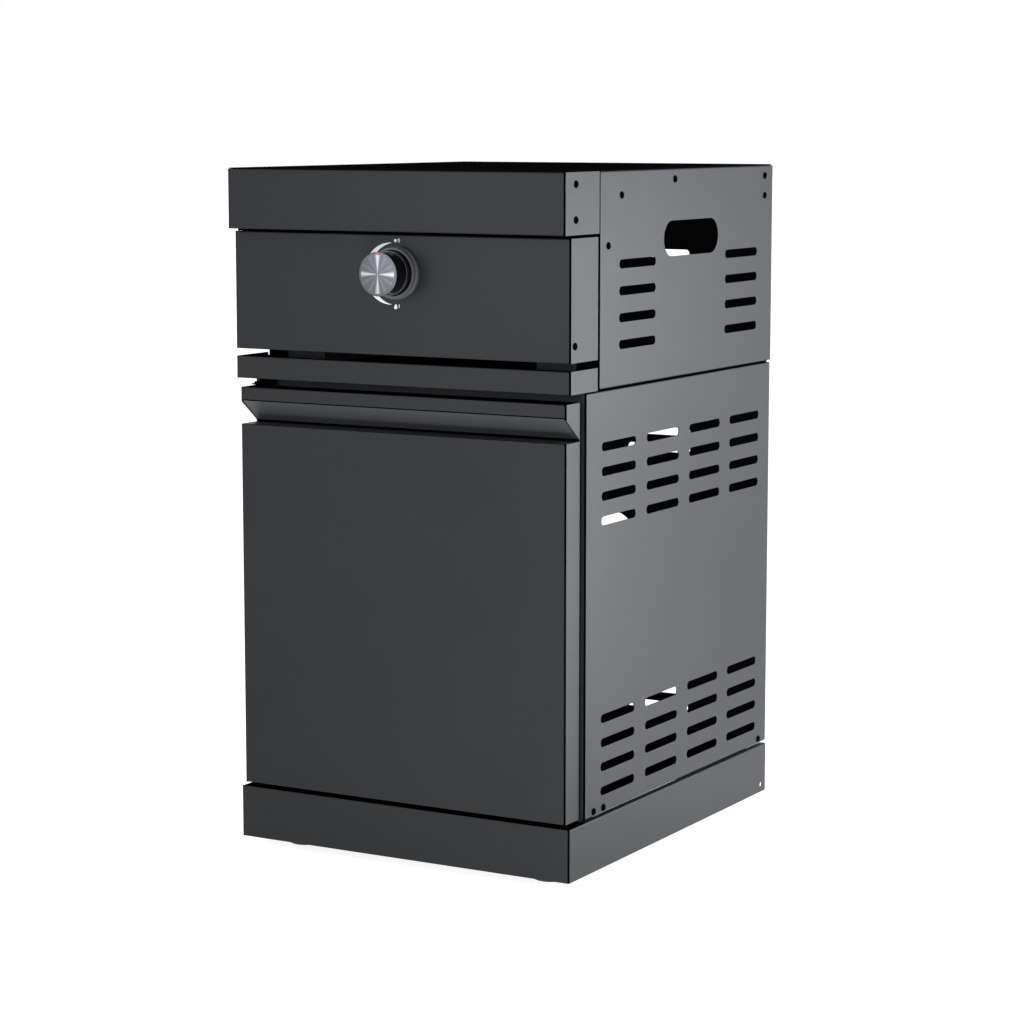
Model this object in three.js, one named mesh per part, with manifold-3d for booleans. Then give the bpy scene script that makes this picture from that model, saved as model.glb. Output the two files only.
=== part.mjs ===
// A free-standing outdoor kitchen module with a gas burner let into its top.
// Millimetres, +Z up, the front faces -Y. The origin is under the middle of the whole object, on the floor.
import * as THREE from "three";
import { mergeVertices } from "three/addons/utils/BufferGeometryUtils.js";
import Module from "manifold-3d";

const wasm = await Module();
wasm.setup();

// Sheet metal and the clearances that every piece uses
const sheet = 1.5;
const seat = 0.3;
const overrun = 6;
const grid = 0.001;
const roundSteps = 2;
const circleSides = 24;
const boltSides = 12;
const pipeRoundSteps = 4;
const tubeRoundSteps = 6;
const pipeSteps = 16;
const fineSides = 36;

// Heights of the body, from the plinth's lower edge up
const plinthHeight = 70.8;
const plinthGap = 3.7;
const lowerSideHeight = 557.5;
const seamHeight = 3;
const upperSideHeight = 279;
const lowerBottom = plinthHeight + plinthGap;
const lowerTop = lowerBottom + lowerSideHeight;
const upperBottom = lowerTop + seamHeight;
const bodyTop = upperBottom + upperSideHeight;

// Plan sizes of the body: y is zero at the front of the top trim
const bodyWidth = 512.8;
const bodyDepth = 618.3;
const faceSetback = 15.4;
const lowerInset = 1;
const halfWidth = bodyWidth / 2;
const lowerHalf = halfWidth - lowerInset;

// Front trim, control panel and fascia rail, from the top down
const trimHeight = 79.3;
const trimDepth = 92.2;
const trimLip = 30;
const trimHem = 10;
const trimGap = 3.7;
const panelHeight = 157.5;
const panelReturn = 73.6;
const panelLip = 11;
const fasciaGap = 10;
const fasciaHeight = 30;
const trimBottom = bodyTop - trimHeight;
const panelTop = trimBottom - trimGap;
const panelBottom = panelTop - panelHeight;
const fasciaTop = panelBottom - fasciaGap;
const fasciaBottom = fasciaTop - fasciaHeight;

// Brackets and screws behind the front corners
const bracketLeg = 72;
const bracketFoot = 30;
const bracketTopDrop = 5;
const bracketNotchMargin = 4;
const trimScrewFromFront = 29;
const trimScrewDrop = 15.3;
const trimScrewPitch = 44.8;
const screwHeadRadius = 4.5;
const screwHeadHeight = 1.7;
const screwShankRadius = 2;
const screwShankLength = 9;

// Upper side panels
const frontFlange = 91.9;
const edgeFlange = 20;
const upperBackRecess = 7.8;
const handleFromRear = 260.5;
const handleDrop = 92.8;
const handleLength = 165.6;
const handleHeight = 47.5;
const upperSlotOffset = 158.3;
const upperSlotDrop = 120.5;
const upperSlotPitch = 34.9;
const upperSlotRows = 4;
const upperSlotLength = 104;
const upperSlotHeight = 11.7;

// Lower side panels
const lowerFlange = 36.9;
const lowerSlotFromRear = 84.3;
const lowerSlotColumnPitch = 127.6;
const lowerSlotColumns = 4;
const lowerSlotRows = 4;
const lowerSlotPitch = 32.3;
const lowerSlotTopDrop = 72.6;
const lowerSlotBottomRise = 29.2;
const lowerSlotLength = 96;
const lowerSlotHeight = 11.7;

// Back panels
const backSlotOffset = 78.3;
const backSlotLength = 102.6;
const backSlotHeight = 11.6;
const backSlotPitch = 25.3;
const backSlotRows = 4;
const backSlotBottomRise = 35.5;
const backSlotTopDrop = 58.6;
const upperBackSlotDrop = 129;
const backFlange = 14;
const hoseHoleRadius = 40;
const hoseHoleRise = 283.5;

// Floors, crossbar and door seats of the cabinet
const floorInset = 4;
const floorLip = 6;
const crossbarSetback = 1.2;
const crossbarHeight = 11.5;
const crossbarDepth = 25;

// Plinth, base rails and levelling feet
const plinthFlange = 8;
const plinthHoleRadius = 3.5;
const plinthHoleFromRear = 14.6;
const plinthHoleRise = 11.2;
const footReach = 15;
const footFromSide = 62.4;
const footFromFace = 64.6;
const footPadRadius = 24;
const footPadHeight = 9;
const footPadCrown = 7;
const footStudRadius = 5;
const footStudTop = 50;
const baseRailBottom = 20;
const baseNutRadius = 9;
const baseNutHeight = 9;

// Door
const doorSideGap = 6.2;
const doorDepth = 37.4;
const doorGap = 6.2;
const doorTopDrop = 10.5;
const doorBottomGap = 5.6;
const doorBandHeight = 18;
const grooveSlopeDrop = 29;
const grooveNeck = 3;
const linerFlange = 12;
const doorHalf = halfWidth - doorSideGap;
const doorRear = faceSetback + doorDepth;
const lowerFront = doorRear + doorGap;
const doorTop = lowerTop - doorTopDrop;
const doorBottom = plinthHeight + doorBottomGap;

// Door hinges
const hingeInset = 8;
const hingeFromRear = 6.8;
const hingePinRadius = 3;
const hingePinPlay = 0.4;
const hingePinReach = 12;
const hingeCollarRadius = 5.5;
const hingeTopHead = 2;
const hingeBottomHead = 0.9;
const hingePlateLeft = 6;
const hingePlateRight = 22;
const hingePlateFront = 8;
const hingeStandOff = 1.5;
const hingeTabHeight = 8;
const hingeLongTab = 20;
const hingeX = -(doorHalf - hingeInset);
const hingeY = doorRear - hingeFromRear;

// Door catch
const catchX = 59;
const catchWidth = 52;
const catchDepth = 20;
const catchHeight = 17;
const catchStandOff = 1.2;
const catchTabThickness = 2.2;
const catchTabHeight = 8;
const magnetWidth = 30;
const magnetHeight = 10;
const magnetLength = 12;
const magnetProud = 0.6;
const strikeWidth = 46;
const strikeHeight = 20;
const strikeTab = 20;

// Burner pan let into the top
const rimThickness = 1.2;
const rimInset = 1;
const panHalfWidth = 190;
const panHalfDepth = 195;
const panCentreY = 330;
const panDepth = 70;
const panCorner = 34;
const panEase = 12;
const rimTop = bodyTop + seat + rimThickness;
const panFloor = rimTop - panDepth;

// Cast grate
const grateClearance = 18;
const grateBar = 9;
const grateBarHeight = 10;
const grateDrop = 0.5;
const grateFinger = 8;
const grateOpening = 32;
const grateRingRadius = 95;
const grateRingBar = 7;
const grateLeg = 11;
const grateLegInset = 6;
const grateCorners = 4;
const grateHalf = panHalfWidth - grateClearance;

// Burner
const burnerFlangeRadius = 50;
const burnerFlangeHeight = 4;
const burnerCupRadius = 40;
const burnerCupWall = 4;
const burnerCupFloor = 8;
const burnerCupHeight = 18;
const burnerThroatRadius = 16;
const burnerThroatDrop = 13;
const burnerBore = 10;
const burnerSocketTop = 5;
const crownRadius = 42;
const crownBore = 31;
const crownHeight = 14;
const crownPorts = 20;
const crownPortWidth = 3;
const crownPortHeight = 6;
const capRadius = 45;
const capEdge = 3.2;
const capDome = 7.7;
const capShoulder = 38;
const capSpigot = 30;
const capSpigotDepth = 5.3;
const electrodeFromBurner = 60;
const electrodeRadius = 3.5;
const electrodeCollar = 6.5;
const electrodeCollarHeight = 2.7;
const electrodeBelow = 10;
const electrodeAbove = 24;
const electrodeTipRadius = 1;
const electrodeTipLength = 7;

// Gas valve: y runs back from the control panel's front face
const knobRise = 108.5;
const stemRadius = 4;
const stemPlay = 0.3;
const valveBracketHalfWidth = 34;
const valveBracketHalfHeight = 27;
const valveHalfWidth = 16;
const valveHalfHeight = 18;
const valveLength = 41;
const valveBoreRadius = 6;
const valveBoreDepth = 27;
const glandRadius = 8.7;
const glandLength = 2.7;
const stemCollarRadius = 5.5;
const stemCollarLength = 3;
const stemTailRadius = 2.5;
const stemTailLength = 9;
const pushTravel = 3;
const springInnerRadius = 3.2;
const igniterWidth = 20;
const igniterLength = 30;
const igniterHeight = 20;
const orificeHexRadius = 7;
const orificeHexLength = 6;
const nozzleRadius = 4;
const nozzleLength = 19;

// Burner tube and air shutter
const tubeRadius = 12.5;
const tubeWall = 1.5;
const tubeStartGap = 13;
const tubeBend = 46;
const shutterWall = 1.5;
const shutterLength = 24;
const shutterFront = 2;
const shutterWindowLength = 10;
const shutterWindowHeight = 12;

// Gas supply pipe and its inlet
const pipeRadius = 5;
const pipeBack = 65;
const pipeEnd = 598;
const pipeHoleRadius = 12;
const pipeFirstDrop = 19;
const pipeBendShares = [0.25, 0.75, 1];
const pipeDropShares = [0.28, 0.42, 0.56];
const inletHexRadius = 9;
const inletHexHeight = 10;
const inletThreadRadius = 7;
const inletThreadLength = 16;
const inletBore = 3.5;

// Knob and bezel: y runs from the control panel's front face, forward is negative
const knobReach = 47.9;
const knobFaceRadius = 28.6;
const knobFaceThickness = 1.6;
const knobFaceChamfer = 0.9;
const knobBodyRadius = 28.1;
const knobRingRadius = 28.8;
const knobRingFront = 22.4;
const knobRingLength = 6;
const knobSpigotRadius = 26;
const knobRear = 11.4;
const knobWall = 2.5;
const knobHubRadius = 8;
const knobFrontWall = 4;
const knobSocketDepth = 26;
const pointerWidth = 4;
const pointerHeight = 3.2;
const pointerDepth = 1;
const bezelRadius = 34.7;
const bezelLength = 13.2;
const bezelShoulder = 6;
const bezelFrontRadius = 33;
const bezelBore = 29.7;
const bezelFoot = 2.2;
const bezelHoleRadius = 12;

// Materials
function finish(colour, roughness, metalness) {
  return new THREE.MeshStandardMaterial({ color: colour, roughness, metalness });
}
const coatedSteel = finish(0x3c3d40, 0.45, 0.4);
const panelSteel = finish(0x6b6e72, 0.45, 0.4);
const enamel = finish(0x0b0b0c, 0.2, 0.1);
const castIron = finish(0x161617, 0.75, 0.5);
const aluminium = finish(0xb9bcc0, 0.35, 0.9);
const brass = finish(0xb08d4a, 0.35, 0.9);
const steel = finish(0x9a9c9f, 0.4, 0.9);
const blackPlastic = finish(0x141415, 0.35, 0);
const rubber = finish(0x1b1b1b, 0.85, 0);
const ceramic = finish(0xe6e1d6, 0.4, 0);
const red = finish(0xd23a3a, 0.45, 0);
const ferrite = finish(0x2b2b2d, 0.6, 0.3);

// Solids from geometry, and geometry from solids
function solid(geometry) {
  const bare = geometry.index ? geometry.toNonIndexed() : geometry.clone();
  bare.deleteAttribute("normal");
  bare.deleteAttribute("uv");
  // Faces meant to lie in one plane get exactly the same coordinate
  const places = bare.getAttribute("position").array;
  places.forEach((value, i) => {
    places[i] = Math.round(value / grid) * grid;
  });
  const merged = mergeVertices(bare, grid / 2);
  const corners = merged.index.array;
  const kept = [];
  for (let i = 0; i < corners.length; i += 3) {
    const [a, b, c] = [corners[i], corners[i + 1], corners[i + 2]];
    if (a !== b && b !== c && c !== a) kept.push(a, b, c);
  }
  const build = (order) =>
    new wasm.Manifold(
      new wasm.Mesh({
        numProp: 3,
        vertProperties: merged.attributes.position.array,
        triVerts: new Uint32Array(order),
      }),
    );
  const made = build(kept);
  return made.volume() < 0 ? build(kept.toReversed()) : made;
}

function geometryOf(body) {
  const mesh = body.getMesh();
  const geometry = new THREE.BufferGeometry();
  geometry.setAttribute("position", new THREE.BufferAttribute(mesh.vertProperties, mesh.numProp));
  geometry.setIndex(new THREE.BufferAttribute(mesh.triVerts, 1));
  const faceted = geometry.toNonIndexed();
  faceted.computeVertexNormals();
  return faceted;
}

function join(first, ...others) {
  return others.reduce((sum, next) => sum.add(next), first);
}

function cut(body, ...tools) {
  return tools.reduce((left, tool) => left.subtract(tool), body);
}

function box(x0, x1, y0, y1, z0, z1) {
  const geometry = new THREE.BoxGeometry(x1 - x0, y1 - y0, z1 - z0);
  geometry.translate((x0 + x1) / 2, (y0 + y1) / 2, (z0 + z1) / 2);
  return solid(geometry);
}

// A prism along x whose outline is drawn in (y, z)
function prismX(shape, x0, x1) {
  const geometry = new THREE.ExtrudeGeometry(shape, {
    depth: x1 - x0,
    bevelEnabled: false,
    curveSegments: roundSteps,
  });
  const toY = new THREE.Vector3(0, 1, 0);
  const toZ = new THREE.Vector3(0, 0, 1);
  const toX = new THREE.Vector3(1, 0, 0);
  geometry.applyMatrix4(new THREE.Matrix4().makeBasis(toY, toZ, toX));
  geometry.translate(x0, 0, 0);
  return solid(geometry);
}

// A prism along y whose outline is drawn in (x, z)
function prismY(shape, y0, y1) {
  const geometry = new THREE.ExtrudeGeometry(shape, {
    depth: y1 - y0,
    bevelEnabled: false,
    curveSegments: roundSteps,
  });
  geometry.rotateX(Math.PI / 2);
  geometry.translate(0, y1, 0);
  return solid(geometry);
}

function outline(points) {
  return new THREE.Shape(points.map(([u, v]) => new THREE.Vector2(u, v)));
}

// A slot with round ends, long in u, centred on (u, v)
function obround(u, v, length, height) {
  const radius = height / 2;
  const reach = length / 2 - radius;
  const shape = new THREE.Shape();
  shape.absarc(u + reach, v, radius, -Math.PI / 2, Math.PI / 2, false);
  shape.absarc(u - reach, v, radius, Math.PI / 2, (3 * Math.PI) / 2, false);
  return shape;
}

function rodZ(x, y, radius, z0, z1, sides = boltSides) {
  const geometry = new THREE.CylinderGeometry(radius, radius, z1 - z0, sides);
  geometry.rotateX(Math.PI / 2);
  geometry.translate(x, y, (z0 + z1) / 2);
  return solid(geometry);
}

function rodY(x, z, radius, y0, y1, sides = boltSides) {
  const geometry = new THREE.CylinderGeometry(radius, radius, y1 - y0, sides);
  geometry.translate(x, (y0 + y1) / 2, z);
  return solid(geometry);
}

function rodX(y, z, radius, x0, x1, sides = boltSides) {
  const geometry = new THREE.CylinderGeometry(radius, radius, x1 - x0, sides);
  geometry.rotateZ(Math.PI / 2);
  geometry.translate((x0 + x1) / 2, y, z);
  return solid(geometry);
}

// Turned pieces: the profile lists (radius, distance along the axis)
function turnedY(profile, sides = circleSides) {
  const points = profile.map(([radius, along]) => new THREE.Vector2(radius, along));
  return solid(new THREE.LatheGeometry(points, sides));
}

function turnedZ(profile, sides = circleSides) {
  const points = profile.map(([radius, along]) => new THREE.Vector2(radius, along));
  const geometry = new THREE.LatheGeometry(points, sides);
  geometry.rotateX(Math.PI / 2);
  return solid(geometry);
}

function closed(profile) {
  return [...profile, profile[0]];
}

function place(name, body, material, parent, x = 0, y = 0, z = 0) {
  const mesh = new THREE.Mesh(geometryOf(body), material);
  mesh.name = name;
  mesh.position.set(x, y, z);
  parent.add(mesh);
  return mesh;
}

// The same folded piece on both sides of the body, the left one mirrored
function placePair(name, body, material, parent) {
  place(name + "_right", body, material, parent);
  place(name + "_left", body, material, parent).scale.x = -1;
}

const model = new THREE.Group();
const front = new THREE.Group();
const upperBox = new THREE.Group();
const lowerCabinet = new THREE.Group();
const base = new THREE.Group();
const door = new THREE.Group();
const burner = new THREE.Group();
const gas = new THREE.Group();
const knob = new THREE.Group();
model.add(front, upperBox, lowerCabinet, base, door, burner, gas, knob);

// Front trim: a cap folded from one sheet, open at the back. Its lower lip ends in
// a short hem that hangs behind the control panel and closes the gap between them
function frontTrim() {
  const hemEnd = halfWidth - sheet - seat - bracketFoot;
  const shell = cut(
    box(-halfWidth, halfWidth, 0, trimDepth, trimBottom, bodyTop),
    box(-halfWidth + sheet, halfWidth - sheet, sheet, trimDepth + overrun, trimBottom + sheet, bodyTop - sheet),
    box(-halfWidth + sheet, halfWidth - sheet, trimLip, trimDepth + overrun, trimBottom - overrun, bodyTop - sheet),
  );
  const hem = box(-hemEnd, hemEnd, trimLip - sheet, trimLip, trimBottom - trimHem, trimBottom + sheet);
  return cut(join(shell, hem), ...trimScrewHoles());
}

function trimScrewPlaces() {
  const upper = bodyTop - trimScrewDrop;
  return [
    ["upper", upper],
    ["lower", upper - trimScrewPitch],
  ];
}

function trimScrewHoles() {
  const reach = halfWidth + overrun;
  return trimScrewPlaces().map(([, z]) =>
    rodX(trimScrewFromFront, z, screwShankRadius + seat, -reach, reach),
  );
}

// A tray folded forward: a face, its side returns and a lip above and below
function foldedFace(bottom, top) {
  const back = faceSetback + panelReturn;
  return cut(
    box(-halfWidth, halfWidth, faceSetback, back, bottom, top),
    box(-halfWidth + sheet, halfWidth - sheet, faceSetback + sheet, back + overrun, bottom + sheet, top - sheet),
    box(
      -halfWidth + sheet,
      halfWidth - sheet,
      faceSetback + panelLip,
      back + overrun,
      bottom - overrun,
      top + overrun,
    ),
  );
}

const knobZ = panelBottom + knobRise;

function controlPanel() {
  const stemHole = rodY(0, knobZ, bezelHoleRadius, faceSetback - overrun, faceSetback + overrun, circleSides);
  return cut(foldedFace(panelBottom, panelTop), stemHole);
}

// Angle bracket behind a front corner: it joins trim, panel and rail to the side
function frontBracket() {
  const outer = halfWidth - sheet - seat;
  const back = trimDepth;
  const low = fasciaBottom + sheet + seat;
  const high = bodyTop - sheet - bracketTopDrop;
  const notchLow = fasciaTop - bracketNotchMargin;
  const notchHigh = panelBottom + bracketNotchMargin;
  const body = join(
    box(outer - sheet, outer, back - bracketLeg, back, low, high),
    box(outer - bracketFoot, outer, back - sheet, back, low, high),
  );
  const lips = [
    [fasciaTop - sheet - seat, fasciaTop + seat],
    [panelBottom - seat, panelBottom + sheet + seat],
    [panelTop - sheet - seat, panelTop + seat],
    [trimBottom - seat, trimBottom + sheet + seat],
  ];
  const lipNotches = lips.map(([z0, z1]) =>
    box(outer - sheet - overrun, outer + overrun, back - bracketLeg - overrun, trimLip + seat, z0, z1),
  );
  const gapNotch = box(
    outer - sheet - overrun,
    outer + overrun,
    back - bracketLeg - overrun,
    back - sheet,
    notchLow,
    notchHigh,
  );
  return cut(body, gapNotch, ...lipNotches, ...trimScrewHoles());
}

// Pan-head screw along +x: the head's underside is at the mesh's own zero
function panScrew() {
  const head = new THREE.CylinderGeometry(
    screwHeadRadius - screwHeadHeight / 2,
    screwHeadRadius,
    screwHeadHeight,
    boltSides,
  );
  head.rotateZ(-Math.PI / 2);
  head.translate(screwHeadHeight / 2, 0, 0);
  return join(solid(head), rodX(0, 0, screwShankRadius, -screwShankLength, screwHeadHeight / 2));
}

place("front_trim", frontTrim(), coatedSteel, front);
place("control_panel", controlPanel(), coatedSteel, front);
place("fascia_rail", foldedFace(fasciaBottom, fasciaTop), coatedSteel, front);
placePair("front_bracket", frontBracket(), coatedSteel, front);
for (const [row, z] of trimScrewPlaces()) {
  const x = halfWidth + seat;
  place(`trim_screw_right_${row}`, panScrew(), steel, front, x, trimScrewFromFront, z);
  const left = place(`trim_screw_left_${row}`, panScrew(), steel, front, -x, trimScrewFromFront, z);
  left.scale.x = -1;
}

// Upper box
const sideFront = trimDepth + seat;
const upperBackFace = bodyDepth - upperBackRecess - sheet;

function upperSide() {
  const edge = halfWidth - edgeFlange;
  const flangeBack = upperBackFace - seat;
  const body = join(
    box(halfWidth - sheet, halfWidth, sideFront, bodyDepth, upperBottom, bodyTop),
    box(halfWidth - frontFlange, halfWidth, sideFront, sideFront + sheet, upperBottom, bodyTop),
    box(edge, halfWidth, sideFront, bodyDepth, bodyTop - sheet, bodyTop),
    box(edge, halfWidth, sideFront, bodyDepth, upperBottom, upperBottom + sheet),
    box(edge, halfWidth, flangeBack - sheet, flangeBack, upperBottom, bodyTop),
  );
  const handleY = bodyDepth - handleFromRear;
  const holes = [obround(handleY, bodyTop - handleDrop, handleLength, handleHeight)];
  for (let row = 0; row < upperSlotRows; row += 1) {
    const z = bodyTop - upperSlotDrop - row * upperSlotPitch;
    for (const y of [handleY - upperSlotOffset, handleY + upperSlotOffset]) {
      holes.push(obround(y, z, upperSlotLength, upperSlotHeight));
    }
  }
  const tools = holes.map((hole) => prismX(hole, halfWidth - overrun, halfWidth + overrun));
  return cut(body, ...tools);
}

function upperBack() {
  const reach = halfWidth - sheet - seat;
  const low = upperBottom + sheet + seat;
  const high = bodyTop - sheet - seat;
  const lipBack = bodyDepth - seat;
  const folded = outline([
    [upperBackFace, low],
    [lipBack, low],
    [lipBack, low + sheet],
    [upperBackFace + sheet, low + sheet],
    [upperBackFace + sheet, high - sheet],
    [lipBack, high - sheet],
    [lipBack, high],
    [upperBackFace, high],
  ]);
  const body = prismX(folded, -reach, reach);
  const z = bodyTop - upperBackSlotDrop;
  const tools = [-backSlotOffset, backSlotOffset].map((x) =>
    prismY(obround(x, z, backSlotLength, backSlotHeight), upperBackFace - overrun, upperBackFace + overrun),
  );
  return cut(body, ...tools);
}

const cabinetFront = lowerFront + sheet + seat;
const pipeY = faceSetback + sheet + seat + sheet + seat + valveLength / 2 + pipeBack;

function upperFloor() {
  const reach = halfWidth - floorInset;
  const plate = box(
    -reach,
    reach,
    cabinetFront,
    bodyDepth - floorInset,
    lowerTop + seat,
    upperBottom - seat,
  );
  return cut(plate, rodZ(0, pipeY, pipeHoleRadius, lowerTop - overrun, upperBottom + overrun));
}

placePair("upper_side", upperSide(), panelSteel, upperBox);
place("upper_back_panel", upperBack(), panelSteel, upperBox);
place("upper_floor", upperFloor(), panelSteel, upperBox);

// Lower cabinet
const lowerBackFace = bodyDepth - sheet;

function lowerSide() {
  const edge = lowerHalf - edgeFlange;
  const flangeBack = lowerBackFace - seat;
  const body = join(
    box(lowerHalf - sheet, lowerHalf, lowerFront, bodyDepth, lowerBottom, lowerTop),
    box(lowerHalf - lowerFlange, lowerHalf, lowerFront, lowerFront + sheet, lowerBottom, lowerTop),
    box(edge, lowerHalf, lowerFront, flangeBack, lowerTop - sheet, lowerTop),
    box(edge, lowerHalf, lowerFront, flangeBack, lowerBottom, lowerBottom + sheet),
    box(edge, lowerHalf, flangeBack - sheet, flangeBack, lowerBottom, lowerTop),
  );
  const tools = [];
  for (let column = 0; column < lowerSlotColumns; column += 1) {
    const y = bodyDepth - lowerSlotFromRear - column * lowerSlotColumnPitch;
    for (let row = 0; row < lowerSlotRows; row += 1) {
      const step = row * lowerSlotPitch;
      for (const z of [lowerTop - lowerSlotTopDrop - step, lowerBottom + lowerSlotBottomRise + step]) {
        const slot = obround(y, z, lowerSlotLength, lowerSlotHeight);
        tools.push(prismX(slot, lowerHalf - overrun, lowerHalf + overrun));
      }
    }
  }
  return cut(body, ...tools);
}

function lowerBack() {
  const reach = lowerHalf - sheet - seat;
  const plate = box(-reach, reach, lowerBackFace, bodyDepth, lowerBottom, lowerTop);
  const lip = box(
    -lowerHalf + edgeFlange + seat,
    lowerHalf - edgeFlange - seat,
    lowerBackFace - backFlange,
    lowerBackFace,
    lowerTop - sheet,
    lowerTop,
  );
  const tools = [
    rodY(0, lowerBottom + hoseHoleRise, hoseHoleRadius, lowerBackFace - overrun, bodyDepth + overrun, circleSides),
  ];
  for (let row = 0; row < backSlotRows; row += 1) {
    const step = row * backSlotPitch;
    for (const z of [lowerBottom + backSlotBottomRise + step, lowerTop - backSlotTopDrop - step]) {
      for (const x of [-backSlotOffset, backSlotOffset]) {
        const slot = obround(x, z, backSlotLength, backSlotHeight);
        tools.push(prismY(slot, lowerBackFace - overrun, bodyDepth + overrun));
      }
    }
  }
  return cut(join(plate, lip), ...tools);
}

function cabinetFloor() {
  const reach = lowerHalf - sheet - seat;
  const low = lowerBottom + sheet + seat;
  const back = lowerBackFace - seat - sheet - seat;
  const flangeEdge = lowerHalf - edgeFlange - seat;
  return join(
    box(-reach, reach, cabinetFront, back, low, low + sheet),
    box(-flangeEdge, flangeEdge, cabinetFront, cabinetFront + sheet, low + sheet - floorLip, low + sheet),
  );
}

function frontCrossbar() {
  const reach = lowerHalf - lowerFlange - seat;
  const face = lowerFront + crossbarSetback;
  return join(
    box(-reach, reach, face, face + sheet, lowerTop - crossbarHeight, lowerTop),
    box(-reach, reach, face, face + crossbarDepth, lowerTop - sheet, lowerTop),
  );
}

placePair("lower_side", lowerSide(), panelSteel, lowerCabinet);
place("lower_back_panel", lowerBack(), panelSteel, lowerCabinet);
place("cabinet_floor", cabinetFloor(), panelSteel, lowerCabinet);
place("front_crossbar", frontCrossbar(), coatedSteel, lowerCabinet);

// Plinth, base rails and feet
const footX = halfWidth - footFromSide;
const footFrontY = faceSetback + footFromFace;
const footRearY = bodyDepth - footFromFace;
const baseRailWidth = 2 * (footFrontY - cabinetFront - sheet - seat);

function plinthFront() {
  const flangeBack = footFrontY - baseRailWidth / 2 - seat;
  return join(
    box(-halfWidth, halfWidth, faceSetback, faceSetback + sheet, 0, plinthHeight),
    box(-halfWidth, halfWidth, faceSetback, flangeBack, plinthHeight - sheet, plinthHeight),
  );
}

function plinthSide() {
  const flangeFront = footFrontY - baseRailWidth / 2;
  const sideStart = faceSetback + sheet + seat;
  const plate = join(
    box(halfWidth - sheet, halfWidth, sideStart, bodyDepth, 0, plinthHeight - sheet - seat),
    box(halfWidth - sheet, halfWidth, flangeFront, bodyDepth, 0, plinthHeight),
    box(halfWidth - sheet - plinthFlange, halfWidth, flangeFront, bodyDepth, plinthHeight - sheet, plinthHeight),
  );
  const hole = rodX(
    bodyDepth - plinthHoleFromRear,
    plinthHoleRise,
    plinthHoleRadius,
    halfWidth - overrun,
    halfWidth + overrun,
  );
  return cut(plate, hole);
}

// A channel open upwards, with a weld nut for each of its two feet
function baseRail() {
  const reach = halfWidth - sheet - plinthFlange - seat;
  const half = baseRailWidth / 2;
  const top = lowerBottom - seat;
  const channel = cut(
    box(-reach, reach, -half, half, baseRailBottom, top),
    box(-reach - overrun, reach + overrun, -half + sheet, half - sheet, baseRailBottom + sheet, top + overrun),
  );
  const nutTop = baseRailBottom + sheet + baseNutHeight;
  const places = [-footX, footX];
  const nuts = places.map((x) => rodZ(x, 0, baseNutRadius, baseRailBottom, nutTop));
  const bores = places.map((x) =>
    rodZ(x, 0, footStudRadius + seat, baseRailBottom - overrun, nutTop + overrun),
  );
  return cut(join(channel, ...nuts), ...bores);
}

function foot() {
  const padTop = footPadHeight - footReach;
  const shoulder = footPadCrown - footReach;
  const crown = footPadRadius - (footPadHeight - footPadCrown);
  const profile = [
    [0, -footReach],
    [footPadRadius, -footReach],
    [footPadRadius, shoulder],
    [crown, padTop],
    [footStudRadius, padTop],
    [footStudRadius, footStudTop],
    [0, footStudTop],
  ];
  return turnedZ(profile, circleSides);
}

place("plinth_front", plinthFront(), coatedSteel, base);
placePair("plinth", plinthSide(), coatedSteel, base);
place("base_rail_front", baseRail(), coatedSteel, base, 0, footFrontY, 0);
place("base_rail_rear", baseRail(), coatedSteel, base, 0, footRearY, 0);
for (const [row, y] of [
  ["front", footFrontY],
  ["rear", footRearY],
]) {
  place(`foot_${row}_left`, foot(), rubber, base, -footX, y, 0);
  place(`foot_${row}_right`, foot(), rubber, base, footX, y, 0);
}

// Door: a folded outer panel whose finger groove runs out at both ends, and a liner
const bandBottom = doorTop - doorBandHeight;
const grooveRear = doorRear - sheet;
const grooveLow = bandBottom - grooveSlopeDrop;
const ledge = grooveLow - grooveNeck;

function doorOuter() {
  const full = outline([
    [faceSetback, doorBottom],
    [doorRear, doorBottom],
    [doorRear, doorTop],
    [faceSetback, doorTop],
    [faceSetback, bandBottom],
    [grooveRear, grooveLow],
    [grooveRear, ledge],
    [faceSetback, ledge],
  ]);
  const run = grooveRear - faceSetback;
  const rise = bandBottom - grooveLow;
  const offset = (sheet * Math.hypot(run, rise)) / run;
  const slopeAt = (y) => bandBottom + offset - ((y - faceSetback) * rise) / run;
  const inner = faceSetback + sheet;
  const behind = doorRear + overrun;
  const upperCavity = outline([
    [inner, slopeAt(inner)],
    [doorRear, slopeAt(doorRear)],
    [behind, slopeAt(doorRear)],
    [behind, doorTop - sheet],
    [inner, doorTop - sheet],
  ]);
  const reach = doorHalf - sheet;
  const hole = hingePinRadius + hingePinPlay;
  return cut(
    prismX(full, -doorHalf, doorHalf),
    prismX(upperCavity, -reach, reach),
    box(-reach, reach, inner, behind, doorBottom + sheet, ledge - sheet),
    rodZ(hingeX, hingeY, hole, doorTop - sheet - overrun, doorTop + overrun),
    rodZ(hingeX, hingeY, hole, doorBottom - overrun, doorBottom + sheet + overrun),
  );
}

function doorLiner() {
  const reach = doorHalf - sheet - seat;
  const low = doorBottom + sheet + seat;
  const high = ledge - sheet - seat;
  const back = doorRear - seat;
  const lip = back - linerFlange;
  const hole = hingePinRadius + hingePinPlay;
  return cut(
    box(-reach, reach, lip, back, low, high),
    box(-reach + sheet, reach - sheet, lip - overrun, back - sheet, low + sheet, high - sheet),
    rodZ(hingeX, hingeY, hole, doorBottom - overrun, low + sheet + overrun),
  );
}

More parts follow.
